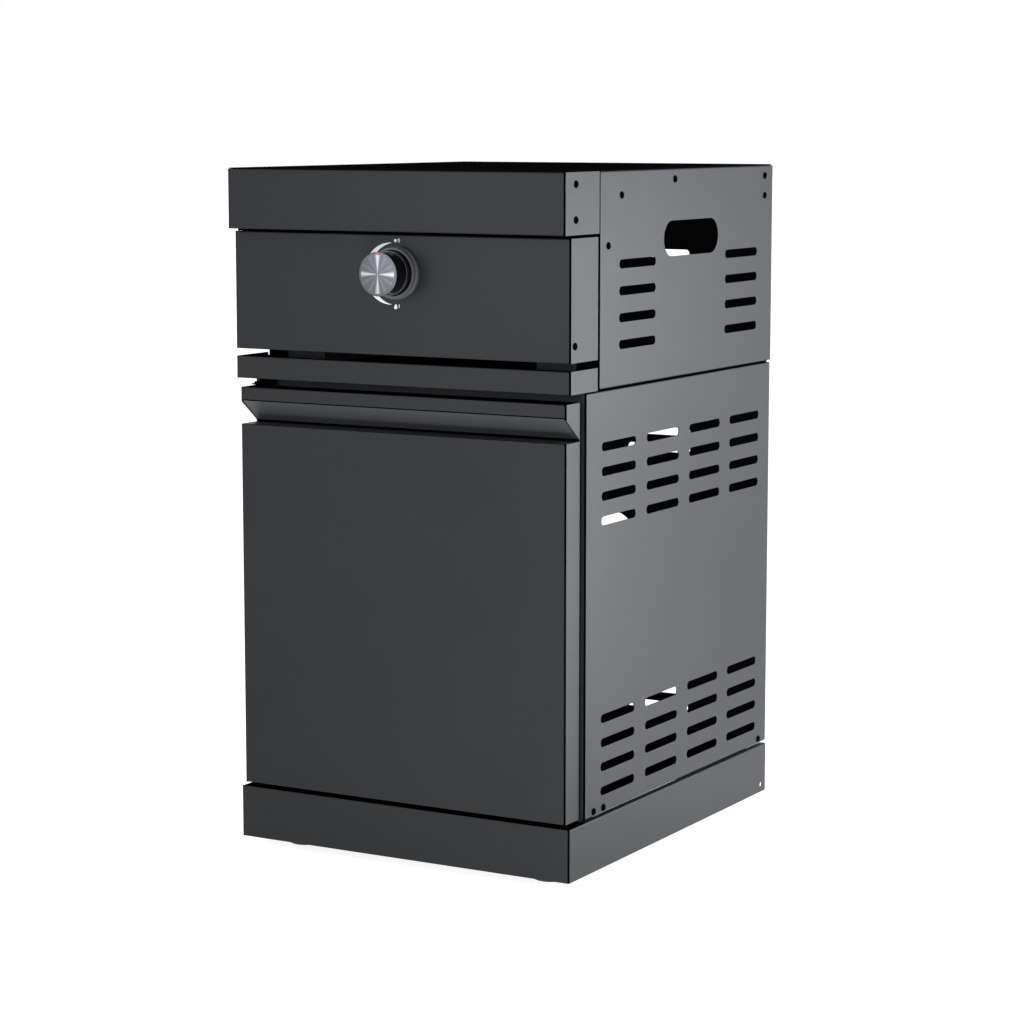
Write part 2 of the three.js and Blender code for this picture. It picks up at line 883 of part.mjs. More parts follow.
function hingeBracket(plateLow, tabLow, tabHigh) {
  const back = lowerFront - seat;
  const left = hingeX - hingePlateLeft;
  const right = hingeX + hingePlateRight;
  const body = join(
    box(left, right, hingeY - hingePlateFront, back, plateLow, plateLow + sheet),
    box(left, right, back - sheet, back, tabLow, tabHigh),
  );
  const hole = rodZ(hingeX, hingeY, hingePinRadius + seat, plateLow - overrun, plateLow + sheet + overrun);
  return cut(body, hole);
}

const topPlate = doorTop + hingeStandOff;
const bottomPlate = plinthHeight + hingeStandOff;

function hingePinTop() {
  const headLow = topPlate + sheet + seat;
  return turnedZ(
    [
      [0, doorTop - hingePinReach],
      [hingePinRadius, doorTop - hingePinReach],
      [hingePinRadius, headLow],
      [hingeCollarRadius, headLow],
      [hingeCollarRadius, headLow + hingeTopHead],
      [0, headLow + hingeTopHead],
    ],
    boltSides,
  );
}

function hingePinBottom() {
  const headHigh = bottomPlate - seat;
  const collarLow = bottomPlate + sheet + seat;
  const collarHigh = doorBottom - seat;
  return turnedZ(
    [
      [0, headHigh - hingeBottomHead],
      [hingeCollarRadius, headHigh - hingeBottomHead],
      [hingeCollarRadius, headHigh],
      [hingePinRadius, headHigh],
      [hingePinRadius, collarLow],
      [hingeCollarRadius, collarLow],
      [hingeCollarRadius, collarHigh],
      [hingePinRadius, collarHigh],
      [hingePinRadius, doorBottom + hingePinReach],
      [0, doorBottom + hingePinReach],
    ],
    boltSides,
  );
}

// Magnetic catch under the crossbar, and its strike plate in the door
const catchTop = lowerTop - crossbarHeight - seat;
const catchFace = doorRear + catchStandOff;
const magnetZ = catchTop - catchHeight / 2;

function catchHousing() {
  const left = catchX - catchWidth / 2;
  const right = catchX + catchWidth / 2;
  const tabFront = lowerFront + crossbarSetback + sheet + seat;
  const pocketX = magnetWidth / 2 + seat;
  const pocketZ = magnetHeight / 2 + seat;
  const body = join(
    box(left, right, catchFace, catchFace + catchDepth, catchTop - catchHeight, catchTop),
    box(left, right, tabFront, tabFront + catchTabThickness, catchTop - catchTabThickness, catchTop + catchTabHeight),
  );
  const pocket = box(
    catchX - pocketX,
    catchX + pocketX,
    catchFace - overrun,
    catchFace - magnetProud + magnetLength + seat,
    magnetZ - pocketZ,
    magnetZ + pocketZ,
  );
  return cut(body, pocket);
}

function catchMagnet() {
  const halfX = magnetWidth / 2;
  const halfZ = magnetHeight / 2;
  const tip = catchFace - magnetProud;
  return box(catchX - halfX, catchX + halfX, tip, tip + magnetLength, magnetZ - halfZ, magnetZ + halfZ);
}

function catchStrike() {
  const left = catchX - strikeWidth / 2;
  const right = catchX + strikeWidth / 2;
  const top = doorTop - sheet - seat;
  const back = doorRear - seat;
  return join(
    box(left, right, back - sheet, back, top - strikeHeight, top),
    box(left, right, back - strikeTab, back, top - sheet, top),
  );
}

place("door_outer_panel", doorOuter(), coatedSteel, door);
place("door_inner_panel", doorLiner(), coatedSteel, door);
place("catch_plate", catchStrike(), steel, door);
place("hinge_bracket_top", hingeBracket(topPlate, topPlate, topPlate + hingeTabHeight), steel, lowerCabinet);
place(
  "hinge_bracket_bottom",
  hingeBracket(bottomPlate, bottomPlate, bottomPlate + hingeLongTab),
  steel,
  lowerCabinet,
);
place("hinge_pin_top", hingePinTop(), steel, lowerCabinet, hingeX, hingeY, 0);
place("hinge_pin_bottom", hingePinBottom(), steel, lowerCabinet, hingeX, hingeY, 0);
place("door_catch", catchHousing(), blackPlastic, lowerCabinet);
place("catch_magnet", catchMagnet(), ferrite, lowerCabinet);

// Burner pan: the rim covers the whole top and the tray hangs in it
function tray(grow, floor, top) {
  const halfX = panHalfWidth + grow - panEase;
  const halfY = panHalfDepth + grow - panEase;
  const radius = panCorner + grow - panEase;
  const shape = new THREE.Shape();
  shape.absarc(halfX - radius, halfY - radius, radius, 0, Math.PI / 2, false);
  shape.absarc(-halfX + radius, halfY - radius, radius, Math.PI / 2, Math.PI, false);
  shape.absarc(-halfX + radius, -halfY + radius, radius, Math.PI, (3 * Math.PI) / 2, false);
  shape.absarc(halfX - radius, -halfY + radius, radius, (3 * Math.PI) / 2, 2 * Math.PI, false);
  const geometry = new THREE.ExtrudeGeometry(shape, {
    depth: top - floor - panEase,
    bevelEnabled: true,
    bevelThickness: panEase,
    bevelSize: panEase,
    bevelSegments: 2,
    curveSegments: roundSteps,
  });
  geometry.translate(0, panCentreY, floor + panEase);
  return solid(geometry);
}

function burnerPan() {
  const reach = halfWidth - rimInset;
  const rimLow = bodyTop + seat;
  const rim = box(-reach, reach, rimInset, bodyDepth - rimInset, rimLow, rimTop);
  const above = rimTop + panDepth;
  const outer = cut(
    tray(rimThickness, panFloor - rimThickness, above),
    box(-reach, reach, 0, bodyDepth, rimTop, above + panDepth),
  );
  const holes = [
    rodZ(0, panCentreY, burnerThroatRadius + seat, panFloor - overrun, panFloor + overrun, circleSides),
    rodZ(
      0,
      panCentreY - electrodeFromBurner,
      electrodeRadius + seat,
      panFloor - overrun,
      panFloor + overrun,
    ),
  ];
  return cut(join(rim, outer), tray(0, panFloor, above), ...holes);
}

function bar(length, width, z0, z1, angle, start) {
  const geometry = new THREE.BoxGeometry(length, width, z1 - z0);
  geometry.translate(start + length / 2, 0, (z0 + z1) / 2);
  geometry.rotateZ(angle);
  return solid(geometry);
}

// Cast grate: a square frame, a ring, and fingers that reach in over the burner
function panGrate() {
  const top = rimTop - grateDrop;
  const low = top - grateBarHeight;
  const inner = grateHalf - grateBar;
  const frame = cut(
    box(-grateHalf, grateHalf, -grateHalf, grateHalf, low, top),
    box(-inner, inner, -inner, inner, low - overrun, top + overrun),
  );
  const ringOuter = rodZ(0, 0, grateRingRadius + grateRingBar / 2, low, top, circleSides);
  const ringInner = rodZ(
    0,
    0,
    grateRingRadius - grateRingBar / 2,
    low - overrun,
    top + overrun,
    circleSides,
  );
  const pieces = [cut(ringOuter, ringInner)];
  const reach = inner + grateBar / 2;
  const half = grateFinger / 2;
  const legOut = grateHalf - grateLegInset;
  const legIn = legOut - grateLeg;
  const diagonal = (legIn + legOut) * Math.SQRT1_2;
  for (const [start, end] of [
    [grateOpening, reach],
    [-reach, -grateOpening],
  ]) {
    pieces.push(box(start, end, -half, half, low, top));
    pieces.push(box(-half, half, start, end, low, top));
  }
  for (let corner = 0; corner < grateCorners; corner += 1) {
    const angle = (2 * corner + 1) * (Math.PI / grateCorners);
    const x = Math.sign(Math.cos(angle));
    const y = Math.sign(Math.sin(angle));
    const [x0, x1] = [x * legIn, x * legOut].sort((a, b) => a - b);
    const [y0, y1] = [y * legIn, y * legOut].sort((a, b) => a - b);
    pieces.push(bar(diagonal - grateRingRadius, grateFinger, low, top, angle, grateRingRadius));
    pieces.push(box(x0, x1, y0, y1, panFloor + seat, top));
  }
  return join(frame, ...pieces);
}

const burnerSeat = seat;
const crownLow = burnerCupHeight + seat;
const capLow = crownLow + crownHeight + seat;

function burnerBase() {
  return turnedZ(
    closed([
      [tubeRadius + seat, -burnerThroatDrop],
      [burnerThroatRadius, -burnerThroatDrop],
      [burnerThroatRadius, burnerSeat],
      [burnerFlangeRadius, burnerSeat],
      [burnerFlangeRadius, burnerFlangeHeight],
      [burnerCupRadius, burnerCupFloor],
      [burnerCupRadius, burnerCupHeight],
      [burnerCupRadius - burnerCupWall, burnerCupHeight],
      [burnerCupRadius - burnerCupWall, burnerCupFloor],
      [burnerBore, burnerCupFloor],
      [burnerBore, burnerSocketTop],
      [tubeRadius + seat, burnerSocketTop],
    ]),
  );
}

function burnerCrown() {
  const ring = turnedZ(
    closed([
      [crownBore, crownLow],
      [crownRadius, crownLow],
      [crownRadius, crownLow + crownHeight],
      [crownBore, crownLow + crownHeight],
    ]),
    crownPorts * 2,
  );
  const top = crownLow + crownHeight;
  const ports = [];
  for (let port = 0; port < crownPorts; port += 1) {
    const angle = (2 * Math.PI * port) / crownPorts;
    const length = crownRadius - crownBore + overrun;
    ports.push(
      bar(length, crownPortWidth, top - crownPortHeight, top + overrun, angle, crownBore - overrun / 2),
    );
  }
  return cut(ring, ...ports);
}

function burnerCap() {
  return turnedZ([
    [0, capLow - capSpigotDepth],
    [capSpigot, capLow - capSpigotDepth],
    [capSpigot, capLow],
    [capRadius, capLow],
    [capRadius, capLow + capEdge],
    [capShoulder, capLow + capDome - seat],
    [0, capLow + capDome],
  ]);
}

function electrode() {
  return turnedZ(
    [
      [0, -electrodeBelow],
      [electrodeRadius, -electrodeBelow],
      [electrodeRadius, seat],
      [electrodeCollar, seat],
      [electrodeCollar, seat + electrodeCollarHeight],
      [electrodeRadius, seat + electrodeCollarHeight],
      [electrodeRadius, electrodeAbove],
      [electrodeTipRadius, electrodeAbove],
      [electrodeTipRadius, electrodeAbove + electrodeTipLength],
      [0, electrodeAbove + electrodeTipLength],
    ],
    boltSides,
  );
}

place("burner_pan", burnerPan(), enamel, burner);
place("pan_grate", panGrate(), castIron, burner, 0, panCentreY, 0);
place("burner_base", burnerBase(), aluminium, burner, 0, panCentreY, panFloor);
place("burner_crown", burnerCrown(), brass, burner, 0, panCentreY, panFloor);
place("burner_cap", burnerCap(), castIron, burner, 0, panCentreY, panFloor);
place(
  "ignition_electrode",
  electrode(),
  ceramic,
  burner,
  0,
  panCentreY - electrodeFromBurner,
  panFloor,
);

// Gas valve behind the control panel: this group's origin is on the knob's axis, at the panel's face
gas.position.set(0, faceSetback, knobZ);
knob.position.set(0, faceSetback, knobZ);
const valveBracketFront = sheet + seat;
const valveFront = valveBracketFront + sheet + seat;
const valveBack = valveFront + valveLength;
const glandBack = valveFront + glandLength;
const boreBottom = glandBack + valveBoreDepth;
const stemTip = -(knobReach - knobFaceThickness - knobFrontWall - seat);
const orificeFront = valveBack + seat;
const orificeTip = orificeFront + nozzleLength + orificeHexLength;
const tubeStart = orificeFront + tubeStartGap;

function valveBracket() {
  const plate = box(
    -valveBracketHalfWidth,
    valveBracketHalfWidth,
    valveBracketFront,
    valveBracketFront + sheet,
    -valveBracketHalfHeight,
    valveBracketHalfHeight,
  );
  return cut(plate, rodY(0, 0, glandRadius + seat, 0, valveFront + overrun, circleSides));
}

function valveBody() {
  const block = box(
    -valveHalfWidth,
    valveHalfWidth,
    valveFront,
    valveBack,
    -valveHalfHeight,
    valveHalfHeight,
  );
  return cut(
    block,
    rodY(0, 0, glandRadius + seat, 0, glandBack + seat, circleSides),
    rodY(0, 0, valveBoreRadius, 0, boreBottom, circleSides),
  );
}

function valveGland() {
  return turnedY(
    closed([
      [stemRadius + stemPlay, valveFront],
      [glandRadius, valveFront],
      [glandRadius, glandBack],
      [stemRadius + stemPlay, glandBack],
    ]),
  );
}

const collarFront = glandBack + seat + seat;
const collarBack = collarFront + stemCollarLength;

function valveStem() {
  return turnedY([
    [0, stemTip],
    [stemRadius, stemTip],
    [stemRadius, collarFront],
    [stemCollarRadius, collarFront],
    [stemCollarRadius, collarBack],
    [stemTailRadius, collarBack],
    [stemTailRadius, collarBack + stemTailLength],
    [0, collarBack + stemTailLength],
  ]);
}

function valveSpring() {
  const low = collarBack + seat;
  const high = boreBottom - seat - pushTravel;
  return turnedY(
    closed([
      [springInnerRadius, low],
      [stemCollarRadius, low],
      [stemCollarRadius, high],
      [springInnerRadius, high],
    ]),
  );
}

function igniter() {
  const left = valveHalfWidth + seat;
  const start = valveFront + seat;
  return box(
    left,
    left + igniterWidth,
    start,
    start + igniterLength,
    -igniterHeight / 2,
    igniterHeight / 2,
  );
}

function gasOrifice() {
  const hexBack = orificeFront + orificeHexLength;
  return join(
    rodY(0, 0, orificeHexRadius, orificeFront, hexBack, 6),
    rodY(0, 0, nozzleRadius, orificeFront, orificeTip),
  );
}

// The venturi tube: forward mouth on the orifice's axis, then up into the burner
function burnerTube() {
  const burnerY = panCentreY - faceSetback;
  const top = panFloor - knobZ + burnerSocketTop - seat;
  const path = new THREE.CurvePath();
  const mouth = new THREE.Vector3(0, tubeStart, 0);
  const bendStart = new THREE.Vector3(0, burnerY - tubeBend, 0);
  const elbow = new THREE.Vector3(0, burnerY, 0);
  const bendEnd = new THREE.Vector3(0, burnerY, tubeBend);
  path.add(new THREE.LineCurve3(mouth, bendStart));
  path.add(new THREE.QuadraticBezierCurve3(bendStart, elbow, bendEnd));
  path.add(new THREE.LineCurve3(bendEnd, new THREE.Vector3(0, burnerY, top)));
  const ring = new THREE.Shape();
  ring.absarc(0, 0, tubeRadius, 0, 2 * Math.PI, false);
  const bore = new THREE.Path();
  bore.absarc(0, 0, tubeRadius - tubeWall, 0, 2 * Math.PI, true);
  ring.holes.push(bore);
  return solid(
    new THREE.ExtrudeGeometry(ring, {
      steps: pipeSteps,
      curveSegments: tubeRoundSteps,
      bevelEnabled: false,
      extrudePath: path,
    }),
  );
}

function airShutter() {
  const bore = tubeRadius + seat;
  const outer = bore + shutterWall;
  const lip = tubeStart - seat;
  const start = lip - shutterFront;
  const sleeve = turnedY(
    closed([
      [nozzleRadius + seat, start],
      [outer, start],
      [outer, start + shutterLength],
      [bore, start + shutterLength],
      [bore, lip],
      [nozzleRadius + seat, lip],
    ]),
  );
  const windowStart = lip + shutterWall;
  const window = box(
    -outer - overrun,
    outer + overrun,
    windowStart,
    windowStart + shutterWindowLength,
    -shutterWindowHeight / 2,
    shutterWindowHeight / 2,
  );
  return cut(sleeve, window);
}

const inletTop = pipeEnd - knobZ;

function gasPipe() {
  const y = valveFront + valveLength / 2;
  const start = -valveHalfHeight - seat;
  const bendHigh = start - pipeFirstDrop;
  const fall = bendHigh - inletTop;
  const points = [new THREE.Vector3(0, y, start), new THREE.Vector3(0, y, bendHigh)];
  pipeBendShares.forEach((share, i) => {
    points.push(new THREE.Vector3(0, y + pipeBack * share, bendHigh - fall * pipeDropShares[i]));
  });
  points.push(new THREE.Vector3(0, y + pipeBack, inletTop + seat));
  const ring = new THREE.Shape();
  ring.absarc(0, 0, pipeRadius, 0, 2 * Math.PI, false);
  return solid(
    new THREE.ExtrudeGeometry(ring, {
      steps: pipeSteps,
      curveSegments: pipeRoundSteps,
      bevelEnabled: false,
      extrudePath: new THREE.CatmullRomCurve3(points),
    }),
  );
}

function gasInlet() {
  const hexLow = inletTop - inletHexHeight;
  const end = hexLow - inletThreadLength;
  const body = join(
    rodZ(0, 0, inletHexRadius, hexLow, inletTop, 6),
    rodZ(0, 0, inletThreadRadius, end, hexLow + seat, boltSides),
  );
  return cut(body, rodZ(0, 0, inletBore, end - overrun, hexLow, boltSides));
}

place("valve_bracket", valveBracket(), steel, gas);
place("valve_body", valveBody(), aluminium, gas);
place("valve_gland", valveGland(), brass, gas);
place("piezo_igniter", igniter(), blackPlastic, gas);
place("gas_orifice", gasOrifice(), brass, gas);
place("burner_tube", burnerTube(), steel, gas);
place("air_shutter", airShutter(), steel, gas);
place("gas_pipe", gasPipe(), steel, gas);
place("gas_inlet", gasInlet(), brass, gas, 0, valveFront + valveLength / 2 + pipeBack, 0);

// Knob and bezel
function knobBezel() {
  const foot = -seat;
  return turnedY(
    closed([
      [bezelBore, -bezelLength],
      [bezelFrontRadius, -bezelLength],
      [bezelFrontRadius, -bezelShoulder - bezelFoot],
      [bezelRadius, -bezelShoulder],
      [bezelRadius, foot],
      [bezelBore, foot],
    ]),
    fineSides,
  );
}

function knobBody() {
  const faceBack = -(knobReach - knobFaceThickness) + seat;
  const ringFront = -knobRingFront - seat;
  const rear = -knobRear;
  const shellInner = knobSpigotRadius - knobWall;
  const cavity = faceBack + knobFrontWall;
  const socket = stemRadius + seat;
  return turnedY(
    [
      [0, faceBack],
      [knobBodyRadius, faceBack],
      [knobBodyRadius, ringFront],
      [knobSpigotRadius, ringFront],
      [knobSpigotRadius, rear],
      [shellInner, rear],
      [shellInner, cavity],
      [knobHubRadius, cavity],
      [knobHubRadius, faceBack + knobSocketDepth],
      [socket, faceBack + knobSocketDepth],
      [socket, faceBack + knobFrontWall - seat],
      [0, faceBack + knobFrontWall - seat],
    ],
    fineSides,
  );
}

function knobRing() {
  return turnedY(
    closed([
      [knobSpigotRadius + seat, -knobRingFront],
      [knobRingRadius, -knobRingFront],
      [knobRingRadius, -knobRingFront + knobRingLength],
      [knobSpigotRadius + seat, -knobRingFront + knobRingLength],
    ]),
    fineSides,
  );
}

function knobPointer() {
  const half = pointerWidth / 2;
  const face = -knobReach;
  const top = knobFaceRadius - knobFaceChamfer;
  return box(-half, half, face, face + pointerDepth, top - pointerHeight, top);
}

function knobFace() {
  const front = -knobReach;
  const back = front + knobFaceThickness;
  const disc = turnedY(
    [
      [0, front],
      [knobFaceRadius - knobFaceChamfer, front],
      [knobFaceRadius, front + knobFaceChamfer],
      [knobFaceRadius, back],
      [0, back],
    ],
    fineSides,
  );
  const slot = box(
    -pointerWidth / 2 - seat,
    pointerWidth / 2 + seat,
    front - overrun,
    front + pointerDepth + seat,
    knobFaceRadius - knobFaceChamfer - pointerHeight - seat,
    knobFaceRadius + overrun,
  );
  return cut(disc, slot);
}

place("knob_bezel", knobBezel(), blackPlastic, gas);
place("valve_spring", valveSpring(), steel, knob);
place("valve_stem", valveStem(), steel, knob);
place("knob_body", knobBody(), blackPlastic, knob);
place("knob_ring", knobRing(), aluminium, knob);
place("knob_face", knobFace(), aluminium, knob);
place("knob_pointer", knobPointer(), red, knob);

// The origin goes under the middle of the whole object, knob included, at the feet
model.position.set(0, -(bodyDepth + faceSetback - knobReach) / 2, footReach);

export default model;
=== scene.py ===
# A free-standing outdoor kitchen module with a gas burner let into its top.
# Metres, +Z up. The front, with its door and knob, faces -Y.
from functools import partial
from math import acos, asin, atan2, cos, hypot, pi, radians, sin, sqrt, tan

import bmesh
import bpy
from mathutils import Matrix, Vector


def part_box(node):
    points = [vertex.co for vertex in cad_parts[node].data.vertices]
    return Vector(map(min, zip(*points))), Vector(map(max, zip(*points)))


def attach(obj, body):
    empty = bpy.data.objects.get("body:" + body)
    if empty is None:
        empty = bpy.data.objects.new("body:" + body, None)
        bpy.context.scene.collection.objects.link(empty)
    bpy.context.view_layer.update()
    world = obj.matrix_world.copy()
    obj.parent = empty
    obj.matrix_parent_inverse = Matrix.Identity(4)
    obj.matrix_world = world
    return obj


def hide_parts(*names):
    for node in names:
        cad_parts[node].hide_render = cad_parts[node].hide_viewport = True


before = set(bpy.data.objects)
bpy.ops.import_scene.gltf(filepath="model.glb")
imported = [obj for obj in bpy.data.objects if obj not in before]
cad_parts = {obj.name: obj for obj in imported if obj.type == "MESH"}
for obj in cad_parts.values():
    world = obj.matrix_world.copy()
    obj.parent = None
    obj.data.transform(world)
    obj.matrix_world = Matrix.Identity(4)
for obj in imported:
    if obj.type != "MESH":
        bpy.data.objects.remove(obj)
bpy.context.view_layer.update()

scene = bpy.context.scene
scene.view_settings.view_transform = "Standard"

# The camera stands before the module and to its right, a little above its top,
# with a long lens, so that upright edges stay upright and nearly parallel.
camera_place = (1.97273, -3.42742, 0.99701)
camera_turn = radians(29.76)
camera_pitch = radians(7.88)
camera_data = bpy.data.cameras.new("camera")
camera_data.lens = 100.3
camera = bpy.data.objects.new("camera", camera_data)
camera.location = camera_place
camera.rotation_euler = (pi / 2 - camera_pitch, 0, camera_turn)
scene.collection.objects.link(camera)
scene.camera = camera

# The plinth: a front plate and two side plates of folded 1.5 mm steel under the cabinet.
# Like every panel of the module it is punched flat, folded on a press brake and powder coated
# in a fine-grained charcoal; its folds, its upper and lower lips and its cut edges are painted
# near-black and dead matt instead, as painted shade.
RIGHT = Vector((1, 0, 0))
REAR = Vector((0, 1, 0))
UP = Vector((0, 0, 1))
QUARTER = pi / 2
gauge = 0.0015
bend_radius = 0.0022
bend_steps = 5
edge_ease = 0.0002
# How far into a lip's bend the charcoal coat runs before the painted shade starts, as a share of
# the arc
shade_start_in_arc = 0.55
corner_relief = 0.0006
slot_end_steps = 7
same_place = 1e-6
rim_angle = 1
end_share = 0.4999
square_on = 0.99


def node(tree, kind, settings=None, **inputs):
    """A node with its properties set and its inputs filled by values or by other sockets."""
    made = tree.nodes.new(kind)
    for name, value in (settings or {}).items():
        setattr(made, name, value)
    for name, value in inputs.items():
        socket = made.inputs[int(name[1:]) if name[0] == "_" else name.replace("_", " ")]
        if isinstance(value, bpy.types.NodeSocket):
            tree.links.new(value, socket)
        else:
            socket.default_value = value
    return made


def flow(tree, kind, settings=None, **inputs):
    """The first output of such a node."""
    return node(tree, kind, settings, **inputs).outputs[0]


def sums(tree, operation, first, second=0.0):
    """One step of arithmetic."""
    return flow(tree, "ShaderNodeMath", {"operation": operation}, _0=first, _1=second)


def new_tree(name, kind, inputs, outputs):
    """An empty node group: the tree, a way to add to it, what it is given and where it ends."""
    tree = bpy.data.node_groups.new(name, kind)
    for way, sockets in (("INPUT", inputs), ("OUTPUT", outputs)):
        for label, sort in sockets.items():
            tree.interface.new_socket(label, in_out=way, socket_type=f"NodeSocket{sort}")
    given, result = tree.nodes.new("NodeGroupInput"), tree.nodes.new("NodeGroupOutput")
    return tree, partial(flow, tree), given.outputs, result.inputs


# The grain of a coat or a moulding: fine lumps, and a broad, faint unevenness
grain_tree, add, given, result = new_tree(
    "coat_grain", "ShaderNodeTree",
    {"Place": "Vector", "Grains per Metre": "Float", "Clouds per Metre": "Float"},
    {"Height": "Float", "Cloud": "Float"},
)
noise = partial(add, "ShaderNodeTexNoise", Vector=given["Place"])
lumps = noise(Scale=given["Grains per Metre"], Detail=2.0, Roughness=0.6)
grain_tree.links.new(lumps, result["Height"])
grain_tree.links.new(noise(Scale=given["Clouds per Metre"], Detail=3.0), result["Cloud"])


def bare(name):
    """A new material, with its tree and its shader's inputs."""
    material = bpy.data.materials.new(name)
    material.use_nodes = True
    return material, material.node_tree, material.node_tree.nodes["Principled BSDF"].inputs


def mixed(tree, share, first, second):
    """A colour between two others."""
    mix = node(tree, "ShaderNodeMix", {"data_type": "RGBA"}, _0=share, _6=first, _7=second)
    return mix.outputs[2]


def grained(name, dark, light, rough, grains=1500, clouds=9, depth=2e-5, shine=0.5, metal=0):
    """A finely lumpy material whose colour and roughness drift between two values."""
    material, tree, shader = bare(name)
    shader["Specular IOR Level"].default_value = shine
    shader["Metallic"].default_value = metal
    place = node(tree, "ShaderNodeTexCoord").outputs["Object"]
    group = {"node_tree": grain_tree}
    scales = {"Grains_per_Metre": grains, "Clouds_per_Metre": clouds}
    height, cloud = node(tree, "ShaderNodeGroup", group, Place=place, **scales).outputs
    for socket, value in (
        ("Base Color", mixed(tree, cloud, (*dark, 1), (*light, 1))),
        ("Roughness", flow(tree, "ShaderNodeMapRange", Value=cloud, _3=rough[0], _4=rough[1])),
        ("Normal", flow(tree, "ShaderNodeBump", Height=height, Distance=depth, Strength=1.0)),
    ):
        tree.links.new(value, shader[socket])
    return material


coat = grained(
    "charcoal_coat", (0.0255, 0.0258, 0.0265), (0.0305, 0.0309, 0.0317), (0.4, 0.47), shine=0.14
)
coat_shader = coat.node_tree.nodes["Principled BSDF"]
coat_shader.inputs["Specular Tint"].default_value = (0.93, 0.96, 1.0, 1.0)
# The painted shade: a near-black, dead matt coat that stands in for shade on folds, lips and cut
# edges, and on parts that lie in shadow.
painted_shade_coat = grained(
    "painted_shade_black", (0.0012, 0.0012, 0.0013), (0.002, 0.002, 0.0022), (0.55, 0.6), shine=0
)
sheet_coats = [coat, painted_shade_coat]

# One pass of the punch: a grid of slots with round ends, added to the blank's outline
punch_tree, add, given, result = new_tree(
    "punch_pass", "GeometryNodeTree",
    {
        "Blank": "Geometry", "Columns": "Int", "Rows": "Int", "Column Pitch": "Float",
        "Row Pitch": "Float", "Slot Length": "Float", "Slot Height": "Float",
        "First Slot": "Vector",
    },
    {"Blank": "Geometry"},
)


def copies(add, points, thing, **more):
    """A copy of a thing on each point."""
    return add("GeometryNodeInstanceOnPoints", Points=points, Instance=thing, **more)


columns = add(
    "GeometryNodeMeshLine", Count=given["Columns"], Start_Location=given["First Slot"],
    Offset=add("ShaderNodeCombineXYZ", X=given["Column Pitch"]),
)
rows = add(
    "GeometryNodeMeshLine", Count=given["Rows"],
    Offset=add("ShaderNodeCombineXYZ", Y=given["Row Pitch"]),
)
length, height = given["Slot Length"], given["Slot Height"]
slot_shape = add(
    "GeometryNodeFilletCurve", {"mode": "POLY"}, Count=slot_end_steps, Limit_Radius=True,
    Curve=add("GeometryNodeCurvePrimitiveQuadrilateral", Width=length, Height=height),
    Radius=sums(punch_tree, "MULTIPLY", height, end_share),
)
real = partial(add, "GeometryNodeRealizeInstances")
slot_points = real(Geometry=copies(add, columns, rows))
slot_curves = real(Geometry=copies(add, slot_points, slot_shape))
joined = node(punch_tree, "GeometryNodeJoinGeometry")
punch_tree.links.new(add("GeometryNodeCurveToMesh", Curve=slot_curves), joined.inputs[0])
punch_tree.links.new(given["Blank"], joined.inputs[0])
punch_tree.links.new(joined.outputs[0], result[0])

# The sheet that is left inside the outline and outside the holes
sheet_tree, add, given, result = new_tree(
    "sheet_left", "GeometryNodeTree", {"Blank": "Geometry", "Coat": "Material"},
    {"Sheet": "Geometry"},
)


def finished(add, geometry, material):
    """Real geometry, in its finish."""
    whole = add("GeometryNodeRealizeInstances", Geometry=geometry)
    return add("GeometryNodeSetMaterial", Geometry=whole, Material=material)


outlines = add("GeometryNodeMeshToCurve", Mesh=given["Blank"])
filled = add("GeometryNodeFillCurve", {"mode": "TRIANGLES"}, Curve=outlines)
sheet_tree.links.new(finished(add, filled, given["Coat"]), result[0])


def linked(thing):
    scene.collection.objects.link(thing)
    return thing


def shape_of(carrier):
    """The shape that an object's modifiers make. The object itself goes."""
    evaluated = linked(carrier).evaluated_get(bpy.context.evaluated_depsgraph_get())
    mesh = bpy.data.meshes.new_from_object(evaluated)
    bpy.data.objects.remove(carrier)
    shape = bmesh.new()
    shape.from_mesh(mesh)
    bpy.data.meshes.remove(mesh)
    return shape


def grown(points, edges, *steps):
    """The shape that node groups make, one after another, of bare points and edges."""
    mesh = bpy.data.meshes.new("carrier")
    mesh.from_pydata(points, edges, [])
    carrier = bpy.data.objects.new("carrier", mesh)
    for tree, values in steps:
        modifier = carrier.modifiers.new(tree.name, "NODES")
        modifier.node_group = tree
        for item in tree.interface.items_tree:
            if item.in_out == "INPUT" and item.name in values:
                modifier[item.identifier] = values[item.name]
    return shape_of(carrier)


def slots(first, size, columns=1, rows=1, pitch=(0.0, 0.0)):
    """One grid of slots, from its first slot's middle."""
    return {
        "Columns": columns, "Rows": rows, "Column Pitch": pitch[0], "Row Pitch": pitch[1],
        "Slot Length": size[0], "Slot Height": size[1], "First Slot": (*first, 0),
    }


def flange(depth, start=0.0, end=0.0, turn=QUARTER):
    """A folded edge: its depth, how far its ends are cut short, and its angle."""
    setback = bend_radius * tan(turn / 2)
    cuts, arc = (start, end), bend_radius * turn
    return {"depth": depth, "cuts": cuts, "turn": turn, "arc": arc, "setback": setback}


def developed(edge, depth=None):
    """How far the flat blank reaches past the folded piece's corner."""
    return (edge["depth"] if depth is None else depth) + edge["arc"] - 2 * edge["setback"]


def corner_points(side, end, cut, tail):
    """One corner of the blank, as distances outwards along it and up it."""
    if side and end:
        start = [(developed(side, depth), drop) for depth, drop in tail] or [(developed(side), 0)]
        near, low = -side["setback"], -end["setback"]
        relief = near - corner_relief
        return [*start, (near, 0), (near, low), (relief, low), (relief, developed(end))]
    if side:
        return [(developed(side), 0)]
    if end and cut:
        round_over = developed(end, end["setback"])
        return [(0, round_over), (-cut, round_over), (-cut, developed(end))]
    return [(0, developed(end) if end else 0)]


